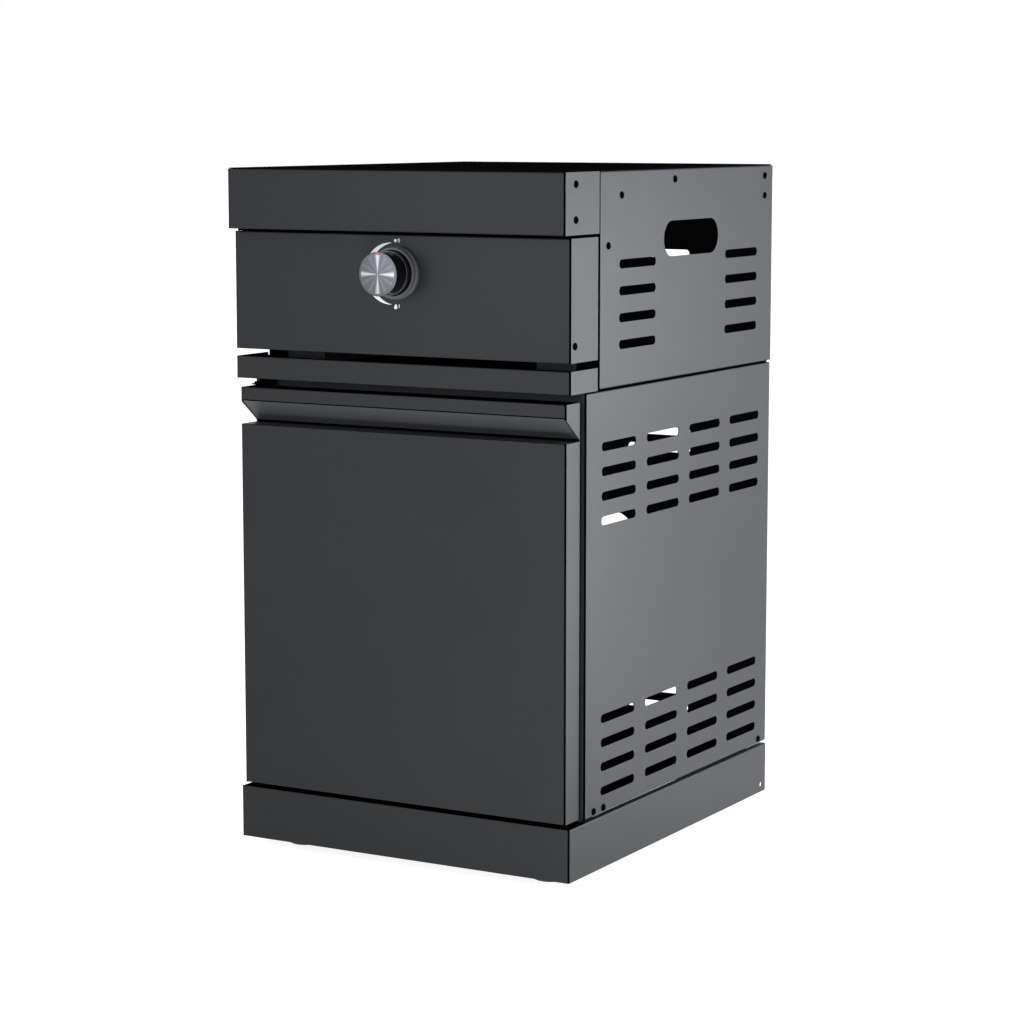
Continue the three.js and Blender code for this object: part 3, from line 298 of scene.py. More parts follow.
def blank_outline(size, left, right, bottom, top, tail):
    """The outline of the flat sheet, corner by corner from its lower right."""
    width, height = size
    outline = []
    for side, end, across, upwards in (
        (right, bottom, 1, -1), (right, top, 1, 1), (left, top, -1, 1), (left, bottom, -1, -1)
    ):
        cut = end["cuts"][across > 0] if end else 0
        start = (width if across > 0 else 0, height if upwards > 0 else 0)
        points = corner_points(side, end, cut, () if upwards > 0 else tail)
        points = [(start[0] + across * x, start[1] + upwards * y) for x, y in points]
        outline += points if across == upwards else points[::-1]
    return outline


def past_bend(edge, run, below):
    """Where a point comes that lies past the start of a fold: on along the face, and behind it."""
    arc, turn = edge["arc"], edge["turn"]
    radius = bend_radius - below
    angle = min(run, arc) / bend_radius
    rest = max(run - arc, 0)
    return (
        radius * sin(angle) + rest * cos(turn),
        bend_radius - radius * cos(angle) + rest * sin(turn),
    )


def merged(shape):
    bmesh.ops.remove_doubles(shape, verts=shape.verts, dist=same_place)
    return shape


def outwards(shape):
    bmesh.ops.recalc_face_normals(shape, faces=shape.faces)
    return shape


def folded(size, corner, along, up, punches=(), tail=(), **edges):
    """A folded sheet with its face's lower left corner at corner. Its outer side is along x up."""
    width, height = size
    left, right, bottom, top = (edges.get(name) for name in ("left", "right", "bottom", "top"))
    outline = blank_outline(size, left, right, bottom, top, tail)
    joins = [(i, (i + 1) % len(outline)) for i in range(len(outline))]
    steps = [(punch_tree, punch) for punch in punches]
    points = [(u, v, 0) for u, v in outline]
    shape = merged(grown(points, joins, *steps, (sheet_tree, {"Coat": coat})))
    folds = {}
    for name, edge, line, axis, sign, reach in (
        ("left", left, RIGHT, 0, -1, 0),
        ("right", right, RIGHT, 0, 1, width),
        ("bottom", bottom, REAR, 1, -1, 0),
        ("top", top, REAR, 1, 1, height),
    ):
        if not edge:
            continue
        start = reach - sign * edge["setback"]
        folds[name] = edge, start, sign, axis
        for step in range(bend_steps + 1):
            bmesh.ops.bisect_plane(
                shape, geom=shape.verts[:] + shape.edges[:] + shape.faces[:], dist=same_place,
                plane_co=line * (start + sign * edge["arc"] * step / bend_steps), plane_no=line,
            )
    thick = bmesh.ops.extrude_face_region(shape, geom=shape.faces[:], use_keep_orig=True)
    for item in thick["geom"]:
        if isinstance(item, bmesh.types.BMVert):
            item.co.z -= gauge
    outwards(shape)
    rims = [e for e in shape.edges if len(e.link_faces) == 2 and e.calc_face_angle() > rim_angle]
    bmesh.ops.bevel(
        shape, geom=[e for e in rims if abs(e.verts[0].co.z - e.verts[1].co.z) < same_place],
        offset=edge_ease, segments=1, affect="EDGES", clamp_overlap=False,
    )

    def run(name, place):
        """How far a point lies past the start of a fold."""
        if name not in folds:
            return -1
        _, start, sign, axis = folds[name]
        return (place[axis] - start) * sign

    def in_arc(name, place):
        return name in folds and 0 < run(name, place) < folds[name][0]["arc"]

    # Painted shade: the arcs of the upright folds, the upper and lower lips from a little past the
    # start of their bends, and every cut edge of the sheet take the near-black coat; the rest keeps
    # the charcoal coat.
    square_bottom = bottom and bottom["turn"] == QUARTER
    for face in shape.faces:
        place = face.calc_center_median()
        dark = in_arc("left", place) or in_arc("right", place)
        dark = dark or top and run("top", place) > top["arc"] * shade_start_in_arc
        if square_bottom:
            dark = dark or run("bottom", place) > bottom["arc"] * shade_start_in_arc
        elif max(run("left", place), run("right", place)) <= 0:
            dark = dark or in_arc("bottom", place)
        face.material_index = 1 if dark or abs(face.normal.z) < 0.5 else 0
    for vert in shape.verts:
        place, behind = [vert.co.x, vert.co.y], -vert.co.z
        for name in ("right", "left", "top", "bottom"):
            if name in folds and run(name, place) >= -same_place:
                edge, start, sign, axis = folds[name]
                on, behind = past_bend(edge, max(run(name, place), 0), behind)
                place[axis] = start + sign * on
                break
        vert.co = corner + along * place[0] + up * place[1] - along.cross(up) * behind
    shape.normal_update()
    return shape


def sheet(box, facing, **folds):
    """A folded sheet that fills one side of a box."""
    low, high = box
    corner, along = {
        "front": (low, RIGHT),
        "rear": (Vector((high.x, high.y, low.z)), -RIGHT),
        "right": (Vector((high.x, low.y, low.z)), REAR),
    }[facing]
    width = high.y - low.y if facing == "right" else high.x - low.x
    return folded((width, high.z - low.z), corner, along, UP, **folds)


def finish_all(shape, finish, facing=None):
    """The shape with one finish on all its faces, or on those that face one way."""
    for face in shape.faces:
        if facing is None or face.normal.dot(facing) > square_on:
            face.material_index = finish
    return shape


def mirrored(shape):
    """The same shape on the other side of the module."""
    copy = shape.copy()
    for vert in copy.verts:
        vert.co.x = -vert.co.x
    bmesh.ops.reverse_faces(copy, faces=copy.faces)
    return copy


def piece(name, shapes, finishes, sharp=radians(50)):
    """One object of several shapes: its curved faces smooth, its flat ones flat."""
    whole = bmesh.new()
    for shape in shapes:
        part = bpy.data.meshes.new("part")
        shape.to_mesh(part)
        whole.from_mesh(part)
        bpy.data.meshes.remove(part)
    for face in whole.faces:
        face.smooth = True
    for edge in whole.edges:
        edge.smooth = not (len(edge.link_faces) == 2 and edge.calc_face_angle() > sharp)
    mesh = bpy.data.meshes.new(name)
    whole.to_mesh(mesh)
    for finish in finishes:
        mesh.materials.append(finish)
    made = linked(bpy.data.objects.new(name, mesh))
    made.modifiers.new("flat_faces", "WEIGHTED_NORMAL").keep_sharp = True
    return made


def fit(made, body, slot, *nodes):
    """The finished piece rides on its body and stands for solids. Its slot is not used."""
    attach(made, body)
    if nodes:
        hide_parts(*nodes)


def panel(name, shapes, solid, slot="side_steel", body="root", coats=sheet_coats):
    """A coated panel."""
    fit(piece(name, shapes, coats), body, slot, solid)


def side_panels(name, shapes, solid):
    """A panel on the right side and its twin on the left."""
    panel(name.format("right"), shapes, f"{solid}_right")
    panel(name.format("left"), [mirrored(shape) for shape in shapes], f"{solid}_left")


def dress(material, *nodes):
    """A solid whose shape is right keeps it and gets its finish."""
    for name in nodes:
        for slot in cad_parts[name].material_slots:
            slot.material = material


return_gap = 0.0002
plinth_hole_place = (0.0146, 0.0112)
plinth_hole = 0.007
low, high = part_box("plinth_front")
side_low, side_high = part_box("plinth_right")
plinth_return = flange(side_low.y - low.y - return_gap)
plinth_front = sheet(
    (low, high), "front", left=plinth_return, right=plinth_return, top=flange(high.y - low.y)
)
panel("plinth_front_panel", [plinth_front], "plinth_front", "front_steel")
hole_place = (side_high.y - side_low.y - plinth_hole_place[0], plinth_hole_place[1])
plinth_side = sheet(
    (side_low, side_high), "right", punches=[slots(hole_place, (plinth_hole, plinth_hole))],
    top=flange(side_high.x - side_low.x, start=high.y - side_low.y + gauge),
)
side_panels("plinth_{}_panel", [finish_all(plinth_side, 0, UP)], "plinth")
dress(coat, "base_rail_front", "base_rail_rear")

# The four levelling feet: moulded plastic pads, each on a threaded steel stud that screws
# through a nut on one of the two base rails.
pad_radius = 0.024
pad_height = 0.009
pad_ease = 0.0025
collar_radius = 0.011
collar_height = 0.0035
stud_radius = 0.005
thread_pitch = 0.0015
thread_depth = 0.0007
ease_share = 0.45
ease_steps = 4


def eased(profile, ease, closed):
    """The same profile with its corners rounded."""
    points = [Vector(point) for point in profile]
    rounded = []
    for index, point in enumerate(points):
        if not closed and index in (0, len(points) - 1):
            rounded.append(tuple(point))
            continue
        before, after = points[index - 1] - point, points[(index + 1) % len(points)] - point
        start = point + before.normalized() * min(ease, before.length * ease_share)
        end = point + after.normalized() * min(ease, after.length * ease_share)
        for step in range(ease_steps + 1):
            share = step / ease_steps
            rounded.append(tuple(start.lerp(point, share).lerp(point.lerp(end, share), share)))
    return rounded


def turned(profile, centre, axis=UP, ease=0, closed=False, finish=0, steps=96):
    """A turned shape: a profile, as radius and place along the axis, swept round it."""
    if ease:
        profile = eased(profile, ease, closed)
    shape = bmesh.new()
    across = axis.orthogonal().normalized()
    other = axis.cross(across)
    rings = []
    for step in range(steps):
        angle = 2 * pi * step / steps
        out = across * cos(angle) + other * sin(angle)
        rings.append([shape.verts.new(centre + out * radius + axis * on) for radius, on in profile])
    for step, here in enumerate(rings):
        there = rings[(step + 1) % steps]
        for start in range(len(profile) if closed else len(profile) - 1):
            end = (start + 1) % len(profile)
            face = shape.faces.new((here[start], there[start], there[end], here[end]))
            face.material_index = finish
    return outwards(merged(shape))


foot_plastic = grained(
    "foot_plastic", (0.05, 0.05, 0.052), (0.065, 0.065, 0.068), (0.45, 0.6), grains=900, depth=3e-5
)
zinc = grained(
    "zinc_plate", (0.42, 0.43, 0.45), (0.55, 0.55, 0.55), (0.3, 0.42), grains=2500, clouds=60,
    depth=1e-5, metal=1,
)
collar_top = pad_height + collar_height
pad_profile = [
    (0, 0), (pad_radius, 0), (pad_radius, pad_height * 0.7), (pad_radius * 0.8, pad_height),
    (collar_radius, pad_height), (collar_radius * 0.9, collar_top), (0, collar_top),
]


def stand(name):
    """The middle of a solid's lowest level, and its height."""
    low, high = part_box(name)
    return Vector(((low.x + high.x) / 2, (low.y + high.y) / 2, low.z)), high.z - low.z


for row in ("front", "rear"):
    for side in ("left", "right"):
        centre, height = stand(f"foot_{row}_{side}")
        stud_profile = [(0, pad_height)]
        for turn in range(int((height - collar_top) / thread_pitch)):
            rise = collar_top + turn * thread_pitch
            stud_profile.append((stud_radius - thread_depth, rise))
            stud_profile.append((stud_radius, rise + thread_pitch / 2))
        stud_profile.append((0, height))
        shapes = [
            turned(pad_profile, centre, ease=pad_ease, steps=48),
            turned(stud_profile, centre, finish=1, steps=24),
        ]
        foot = piece(f"levelling_foot_{row}_{side}", shapes, [foot_plastic, zinc])
        fit(foot, f"{row}_{side}_foot", "foot_plastic", f"foot_{row}_{side}")

# The lower cabinet: two side panels, a back panel, a floor and a narrow crossbar over the door,
# all of the same coated sheet. Rows of slots let a leak of gas fall out and air come in.
vent_columns = 4
vent_rows = 4
vent_pitch = (0.1276, 0.0323)
vent_from_rear = 0.0843
vent_top_drop = 0.0726
vent_bottom_rise = 0.0292
vent_size = (0.096, 0.0117)
edge_flange = 0.02
rear_flange_gap = 0.0018


def rear_angle(low, high, rear):
    """The fold of a side panel's rear edge, as a strip of its own that looks forwards."""
    inset = gauge + corner_relief
    size = (edge_flange - inset, high.z - low.z - 2 * inset)
    return folded(size, Vector((high.x - edge_flange, rear, low.z + inset)), RIGHT, UP)


low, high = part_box("lower_side_right")
length, height = high.y - low.y, high.z - low.z
first_column = length - vent_from_rear - (vent_columns - 1) * vent_pitch[0]
top_row = height - vent_top_drop - (vent_rows - 1) * vent_pitch[1]
edge_fold = flange(edge_flange, end=rear_flange_gap)
lower_side = sheet(
    (low, high), "right", left=flange(high.x - low.x), top=edge_fold, bottom=edge_fold,
    punches=[
        slots((first_column, row), vent_size, vent_columns, vent_rows, vent_pitch)
        for row in (top_row, vent_bottom_rise)
    ],
)
angle = rear_angle(low, high, high.y - rear_flange_gap - gauge)
side_panels("lower_side_panel_{}", [lower_side, angle], "lower_side")

back_slot_size = (0.1026, 0.0116)
back_slot_offset = 0.0783
back_slot_pitch = 0.0253
back_slot_rise = 0.0355
back_slot_drop = 0.0586
back_slot_rows = 4
hose_hole = 0.08
hose_hole_rise = 0.2835
back_lip = 0.0155
low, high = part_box("lower_back_panel")
middle = (high.x - low.x) / 2
back_pitch = (2 * back_slot_offset, back_slot_pitch)
back_top_row = high.z - low.z - back_slot_drop - (back_slot_rows - 1) * back_slot_pitch
punches = [
    slots((middle - back_slot_offset, row), back_slot_size, 2, back_slot_rows, back_pitch)
    for row in (back_slot_rise, back_top_row)
]
punches.append(slots((middle, hose_hole_rise), (hose_hole, hose_hole)))
lower_back = sheet(
    (low, high), "rear", punches=punches,
    top=flange(back_lip, start=edge_flange, end=edge_flange),
)
panel("lower_rear_panel", [lower_back], "lower_back_panel")
low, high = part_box("front_crossbar")
crossbar = sheet((low, high), "front", top=flange(high.y - low.y))
panel("door_crossbar", [crossbar], "front_crossbar", "front_steel")
low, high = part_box("cabinet_floor")
floor_pan = folded(
    (high.x - low.x, high.y - low.y), Vector((low.x, low.y, high.z)), RIGHT, REAR,
    bottom=flange(high.z - low.z, start=edge_flange, end=edge_flange),
)
# The floor is near-black all over: painted shade for the dark inside of the cabinet.
panel("bottom_shelf", [floor_pan], "cabinet_floor", coats=[painted_shade_coat, painted_shade_coat])

# The door: a deep tray folded from the same sheet. Its lower face is one panel, and above it
# a finger groove slopes back across the whole width under a narrow band. A liner closes its back.
# The groove's slope is coated about three times lighter than the rest: painted light, for the light
# it catches from the floor below.
groove_painted_light_coat = grained(
    "charcoal_painted_light", (0.078, 0.079, 0.081), (0.087, 0.088, 0.09), (0.4, 0.47), shine=0.14
)
band_height = 0.018
groove_drop = 0.029
groove_neck = 0.003
low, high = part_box("door_outer_panel")
width = high.x - low.x
door_depth = high.y - low.y
groove_depth = door_depth - gauge
ledge = high.z - band_height - groove_drop - groove_neck
deep = flange(door_depth)
door_tray = folded(
    (width, ledge - low.z), low, RIGHT, UP, left=deep, right=deep, bottom=deep,
    top=flange(groove_depth),
)
neck_drop = groove_drop + groove_neck - corner_relief
slope = flange(hypot(groove_depth, groove_drop), turn=atan2(groove_depth, groove_drop))
door_band = folded(
    (width, band_height), Vector((low.x, low.y, high.z - band_height)), RIGHT, UP,
    left=deep, right=deep, top=deep, bottom=slope,
    tail=[(door_depth, neck_drop), (groove_depth, neck_drop), (groove_depth, groove_drop)],
)
# Painted light: the sloping face of the groove takes the lighter coat.
finish_all(door_band, 2, Vector((0, -groove_drop, -groove_depth)).normalized())
inset = gauge + corner_relief
groove_back = folded(
    (width - 2 * inset, groove_neck + gauge),
    Vector((low.x + inset, low.y + groove_depth, ledge - gauge)), RIGHT, UP,
)
# The groove's back strip is near-black all over: painted shade deep in the groove.
shapes = [finish_all(door_tray, 0, UP), door_band, finish_all(groove_back, 1)]
door_coats = [*sheet_coats, groove_painted_light_coat]
panel("door_front_panel", shapes, "door_outer_panel", "front_steel", "door", door_coats)
low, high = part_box("door_inner_panel")
shallow = flange(high.y - low.y)
liner = sheet((low, high), "rear", left=shallow, right=shallow, bottom=shallow, top=shallow)
panel("door_liner", [liner], "door_inner_panel", body="door")

# The door turns on two steel pins in coated brackets on the left, and is held shut
# by a ferrite magnet in a plastic housing, which pulls on a zinc-plated strike plate.
catch_plastic = grained("catch_plastic", (0.012,) * 3, (0.018,) * 3, (0.4, 0.5), grains=1200)
ferrite = grained(
    "ferrite", (0.02, 0.02, 0.022), (0.035, 0.035, 0.036), (0.55, 0.75), grains=4000, depth=4e-5
)
# The hinge brackets and pins are painted near-black all over as painted shade, in place of their
# coat and steel.
dress(painted_shade_coat, "hinge_bracket_top", "hinge_bracket_bottom", "hinge_pin_top", "hinge_pin_bottom")
dress(zinc, "catch_plate")
dress(catch_plastic, "door_catch")
dress(ferrite, "catch_magnet")

# The upper box: side panels with a hand hole for lifting and two columns of slots,
# a back panel with one row of slots, and a floor that carries nothing but keeps heat up.
hand_hole_from_rear = 0.2605
hand_hole_drop = 0.0928
hand_hole_size = (0.1656, 0.0475)
upper_slot_offset = 0.1583
upper_slot_drop = 0.1205
upper_slot_pitch = 0.0349
upper_slot_rows = 4
upper_slot_size = (0.104, 0.0117)
upper_back_slot_drop = 0.129
low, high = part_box("upper_side_right")
back_low, back_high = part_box("upper_back_panel")
height = high.z - low.z
hand_hole = high.y - low.y - hand_hole_from_rear
first_slot = (
    hand_hole - upper_slot_offset,
    height - upper_slot_drop - (upper_slot_rows - 1) * upper_slot_pitch,
)
slot_pitch = (2 * upper_slot_offset, upper_slot_pitch)
edge_fold = flange(edge_flange)
upper_side = sheet(
    (low, high), "right", left=flange(high.x - low.x), top=edge_fold, bottom=edge_fold,
    punches=[
        slots((hand_hole, height - hand_hole_drop), hand_hole_size),
        slots(first_slot, upper_slot_size, 2, upper_slot_rows, slot_pitch),
    ],
)
angle = rear_angle(low, high, back_low.y - gauge - corner_relief)
side_panels("upper_side_panel_{}", [upper_side, angle], "upper_side")
slot_left = (back_high.x - back_low.x) / 2 - back_slot_offset
slot_place = (slot_left, high.z - upper_back_slot_drop - back_low.z)
punches = [slots(slot_place, back_slot_size, columns=2, pitch=back_pitch)]
upper_back = sheet((back_low, back_high), "front", punches=punches)
panel("upper_rear_panel", [upper_back], "upper_back_panel")
# The upper floor is near-black all over: painted shade in place of its coat.
dress(painted_shade_coat, "upper_floor")

# The front: a fascia rail, the control panel and the trim that wraps the top's front edge.
# Each is a shallow tray with deep side returns, screwed to an angle bracket behind its corners.
# A hem on the trim's lower lip hangs behind the control panel and closes the gap there.
panel_lip = 0.011
trim_lip = 0.03
trim_hem = 0.01
trim_hem_end = 0.0318
stem_hole = 0.024
face_low, face_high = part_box("knob_face")
knob_axis_z = (face_low.z + face_high.z) / 2
for name, solid, lip in (
    ("fascia_strip", "fascia_rail", panel_lip),
    ("knob_panel", "control_panel", panel_lip),
    ("top_trim", "front_trim", trim_lip),
):
    low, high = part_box(solid)
    side = flange(high.y - low.y)
    folds = {"left": side, "right": side, "bottom": flange(lip), "top": flange(lip)}
    shapes = []
    if name == "knob_panel":
        folds["punches"] = [slots((-low.x, knob_axis_z - low.z), (stem_hole, stem_hole))]
    if name == "top_trim":
        hem_size = (high.x - low.x - 2 * trim_hem_end, trim_hem)
        hem_corner = low + Vector((trim_hem_end, trim_lip - gauge, 0))
        # The hem is near-black all over: painted shade in the gap behind the trim.
        shapes = [finish_all(folded(hem_size, hem_corner, RIGHT, UP), 1)]
        folds["top"] = side
        low.z += trim_hem
    shapes.insert(0, sheet((low, high), "front", **folds))
    panel(name, shapes, solid, "front_steel")
# The front brackets are painted near-black all over as painted shade, in place of their coat.
dress(painted_shade_coat, "front_bracket_left", "front_bracket_right")

# Black pan-head screws with a cross recess hold the trim, the control panel and the side panels.
# The same screws stand on both sides of the module.
head_radius = 0.0048
head_height = 0.0019
recess_length = 0.0052
recess_width = 0.0011
recess_depth = 0.0012
panel_screw = (0.0119, 0.0215)
upper_screws = (
    (0.1166, 0.0957), (0.153, 0.0316), (0.3064, 0.0138), (0.5915, 0.0142), (0.592, 0.0422)
)
lower_screws = (0.0837, 0.1109, 0.5934)
lower_screw_rise = 0.0068
screw_black = grained(
    "screw_black", (0.0015, 0.0015, 0.0016), (0.003, 0.003, 0.0032), (0.4, 0.5), grains=3000,
    clouds=200, depth=1e-5, shine=0,
)


def shape_object(name, shape):
    """A bare object for a shape that a modifier reads."""
    mesh = bpy.data.meshes.new(name)
    shape.to_mesh(mesh)
    return bpy.data.objects.new(name, mesh)


def modified(thing, name, kind, **settings):
    """Puts a modifier on an object, with its settings."""
    modifier = thing.modifiers.new(name, kind)
    for setting, value in settings.items():
        setattr(modifier, setting, value)


def prism(outline, low, high):
    """An outline in the flat, raised from one height to another."""
    shape = bmesh.new()
    floor = [shape.verts.new((x, y, low)) for x, y in outline]
    roof = [shape.verts.new((x, y, high)) for x, y in outline]
    shape.faces.new(floor)
    shape.faces.new(roof)
    for index in range(len(outline)):
        after = (index + 1) % len(outline)
        shape.faces.new((floor[index], floor[after], roof[after], roof[index]))
    return outwards(shape)


head_profile = [(0, 0), (head_radius, 0)]
for share, rise in ((1, 0.35), (0.88, 0.75), (0.6, 0.96), (0, 1)):
    head_profile.append((head_radius * share, head_height * rise))
long, thin = recess_length / 2, recess_width / 2
cross_outline = []
for turn in range(4):
    cosine, sine = round(cos(turn * QUARTER)), round(sin(turn * QUARTER))
    for x, y in ((thin, thin), (thin, long), (-thin, long)):
        cross_outline.append((x * cosine - y * sine, x * sine + y * cosine))
head = shape_object("screw_head", turned(head_profile, Vector(), steps=32))
recess = prism(cross_outline, head_height - recess_depth, head_height * 2)
recess = linked(shape_object("screw_recess", recess))
modified(head, "recess", "BOOLEAN", object=recess, solver="EXACT")
screw_head = linked(shape_object("screw_head_cut", shape_of(head)))
bpy.data.objects.remove(recess)

# A thing on each point, turned once and then by one step more from point to point
copy_tree, add, given, result = new_tree(
    "copies_on_points", "GeometryNodeTree",
    {
        "Points": "Geometry", "Thing": "Object", "Turn": "Vector", "Step": "Vector",
        "Finish": "Material",
    },
    {"Copies": "Geometry"},
)
thing = node(copy_tree, "GeometryNodeObjectInfo", Object=given["Thing"], As_Instance=True)
turn = add(
    "ShaderNodeVectorMath", {"operation": "MULTIPLY_ADD"}, _0=given["Step"],
    _1=add("GeometryNodeInputIndex"), _2=given["Turn"],
)
placed = copies(add, given["Points"], thing.outputs["Geometry"], Rotation=turn)
copy_tree.links.new(finished(add, placed, given["Finish"]), result[0])


def copied(thing, points, finish, turn=(0, 0, 0), step=(0, 0, 0)):
    """The shape of all the copies of an object."""
    values = {"Thing": thing, "Turn": turn, "Step": step, "Finish": finish}
    return grown(points, [], (copy_tree, values))


trim_low, trim_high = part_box("front_trim")
holes = []
for row in ("upper", "lower"):
    low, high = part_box(f"trim_screw_right_{row}")
    holes.append((trim_high.x, (low.y + high.y) / 2, (low.z + high.z) / 2))
low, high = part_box("control_panel")
holes.append((high.x, low.y + panel_screw[0], low.z + panel_screw[1]))
low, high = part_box("upper_side_right")
holes += [(high.x, trim_low.y + behind, high.z - drop) for behind, drop in upper_screws]
low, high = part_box("lower_side_right")
holes += [(high.x, trim_low.y + behind, low.z + lower_screw_rise) for behind in lower_screws]
trim_screws = [f"trim_screw_{s}_{row}" for s in ("left", "right") for row in ("upper", "lower")]
shapes = []
for sign in (1, -1):
    mirrored_holes = [(sign * x, y, z) for x, y, z in holes]
    shapes.append(copied(screw_head, mirrored_holes, screw_black, turn=(0, sign * QUARTER, 0)))
fit(piece("side_screws", shapes, [screw_black]), "root", "black_screw", *trim_screws)
bpy.data.objects.remove(screw_head)

# The burner pan: one pressing of enamelled steel. Its matt rim covers the whole top, and a
# gloss bowl with rounded corners hangs in the opening and catches what boils over.
enamel_thickness = 0.0012
bowl_half = (0.19, 0.195)
bowl_corner = 0.034
bowl_depth = 0.07
bowl_roll = 0.003
bowl_ease = 0.012
rim_corner = 0.002
rim_ease = 0.0004
drip_ring = (0.072, 0.08)
drip_depth = 0.0008
corner_steps = 12
roll_steps = 6
pan_low, pan_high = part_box("burner_pan")
grate_low, grate_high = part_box("pan_grate")
burner_axis = Vector((0, (grate_low.y + grate_high.y) / 2, pan_high.z - bowl_depth))


def corner_signs(quarter):
    return 1 if quarter in (0, 3) else -1, 1 if quarter in (0, 1) else -1


def rounded_ring(shape, middle, half, corner, height):
    """One ring of vertices round a rectangle with round corners."""
    verts = []
    for quarter in range(4):
        sign_x, sign_y = corner_signs(quarter)
        for step in range(corner_steps + 1):
            angle = (quarter + step / corner_steps) * QUARTER
            x = middle[0] + sign_x * (half[0] - corner) + corner * cos(angle)
            y = middle[1] + sign_y * (half[1] - corner) + corner * sin(angle)
            verts.append(shape.verts.new((x, y, height)))
    return verts


def lofted(shape, rings, finish=lambda index: 0, closed=False):
    """Walls from ring to ring."""
    for index in range(len(rings) if closed else len(rings) - 1):
        here, there = rings[index], rings[(index + 1) % len(rings)]
        for start in range(len(here)):
            end = (start + 1) % len(here)
            face = shape.faces.new((here[start], here[end], there[end], there[start]))
            face.material_index = finish(index)


top_enamel = grained(
    "matt_enamel", (0.0045, 0.0045, 0.0048), (0.0065, 0.0065, 0.0069), (0.5, 0.6), grains=1200,
    shine=0,
)
bowl_enamel = grained(
    "gloss_enamel", (0.004, 0.004, 0.0045), (0.007, 0.007, 0.008), (0.12, 0.2), grains=300,
    clouds=25, depth=3e-5, shine=0.1,
)
pan = bmesh.new()
middle = (burner_axis.x, burner_axis.y)
rim_middle = ((pan_low.x + pan_high.x) / 2, (pan_low.y + pan_high.y) / 2)
rim_half = ((pan_high.x - pan_low.x) / 2, (pan_high.y - pan_low.y) / 2)
inner_half = (rim_half[0] - rim_ease, rim_half[1] - rim_ease)
rings = [
    rounded_ring(pan, rim_middle, rim_half, rim_corner, pan_high.z - rim_ease),
    rounded_ring(pan, rim_middle, inner_half, rim_corner, pan_high.z),
]
last_matt_ring = len(rings) + roll_steps
turns = [QUARTER * step / roll_steps for step in range(roll_steps + 1)]
bends = [(bowl_roll * (1 - sin(t)), pan_high.z - bowl_roll * (1 - cos(t))) for t in turns]
bends += [(-bowl_ease * (1 - cos(t)), burner_axis.z + bowl_ease * (1 - sin(t))) for t in turns]
for grow, height in bends:
    half = (bowl_half[0] + grow, bowl_half[1] + grow)
    rings.append(rounded_ring(pan, middle, half, bowl_corner + grow, height))
for radius, drop in (
    (drip_ring[1], 0), (sum(drip_ring) / 2, drip_depth), (drip_ring[0], 0), (stud_radius, 0)
):
    rings.append(rounded_ring(pan, middle, (radius, radius), radius, burner_axis.z - drop))
lofted(pan, rings, lambda index: 0 if index <= last_matt_ring else 1)
centre_face = pan.faces.new(rings[-1])
centre_face.material_index = 1
outwards(merged(pan))
if centre_face.normal.z < 0:
    bmesh.ops.reverse_faces(pan, faces=pan.faces)
pan_object = piece("enamelled_pan", [pan], [top_enamel, bowl_enamel])
modified(pan_object, "wall", "SOLIDIFY", thickness=enamel_thickness, offset=-1)
fit(pan_object, "root", "enamel", "burner_pan")

# The burner: a cast aluminium cup screwed to the pan, a brass crown whose twenty slots are the
# flame ports, a loose enamelled cast-iron cap, and a ceramic spark electrode in front of it.
cup_profile = [
    (0.0128, -0.013), (0.016, -0.013), (0.016, 0.0003), (0.05, 0.0003), (0.05, 0.004),
    (0.04, 0.008), (0.04, 0.018), (0.036, 0.018), (0.036, 0.008), (0.01, 0.008), (0.01, 0.005),
    (0.0128, 0.005),
]
cast_aluminium = grained(
    "cast_aluminium", (0.38, 0.38, 0.39), (0.5, 0.5, 0.51), (0.38, 0.5), grains=1400, clouds=60,
    depth=4e-5, metal=1,
)
cup = turned(cup_profile, burner_axis, ease=0.0008, closed=True)
fit(piece("burner_cup", [cup], [cast_aluminium]), "root", "aluminium", "burner_base")

crown_low, crown_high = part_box("burner_crown")
crown_radius = (crown_high.x - crown_low.x) / 2
crown_bore = 0.031
crown_ports = 20
port_width = 0.003
port_height = 0.006
tooth_steps = 4
brass = grained(
    "turned_brass", (0.42, 0.27, 0.09), (0.6, 0.42, 0.17), (0.25, 0.38), grains=1800, clouds=80,
    metal=1,
)
half_tooth = pi / crown_ports - asin(port_width / 2 / crown_radius)
angles = [half_tooth * (2 * step / tooth_steps - 1) for step in range(tooth_steps + 1)]
tooth_outline = [(crown_radius * cos(a), crown_radius * sin(a)) for a in angles]
tooth_outline += [(crown_bore * cos(a), crown_bore * sin(a)) for a in angles[::-1]]
tooth = prism(tooth_outline, crown_high.z - port_height, crown_high.z)
tooth = linked(shape_object("crown_tooth", tooth))
band_low = crown_low.z - burner_axis.z
band_high = crown_high.z - port_height - burner_axis.z
band_profile = [
    (crown_bore, band_low), (crown_radius, band_low), (crown_radius, band_high),
    (crown_bore, band_high),
]
stations = [(0, burner_axis.y, 0)] * crown_ports
teeth = copied(tooth, stations, brass, step=(0, 0, 2 * pi / crown_ports))
band = turned(band_profile, burner_axis, closed=True)
crown = piece("flame_crown", [band, teeth], [brass])
modified(crown, "edges", "BEVEL", width=0.0003, segments=2)
fit(crown, "root", "brass", "burner_crown")
bpy.data.objects.remove(tooth)

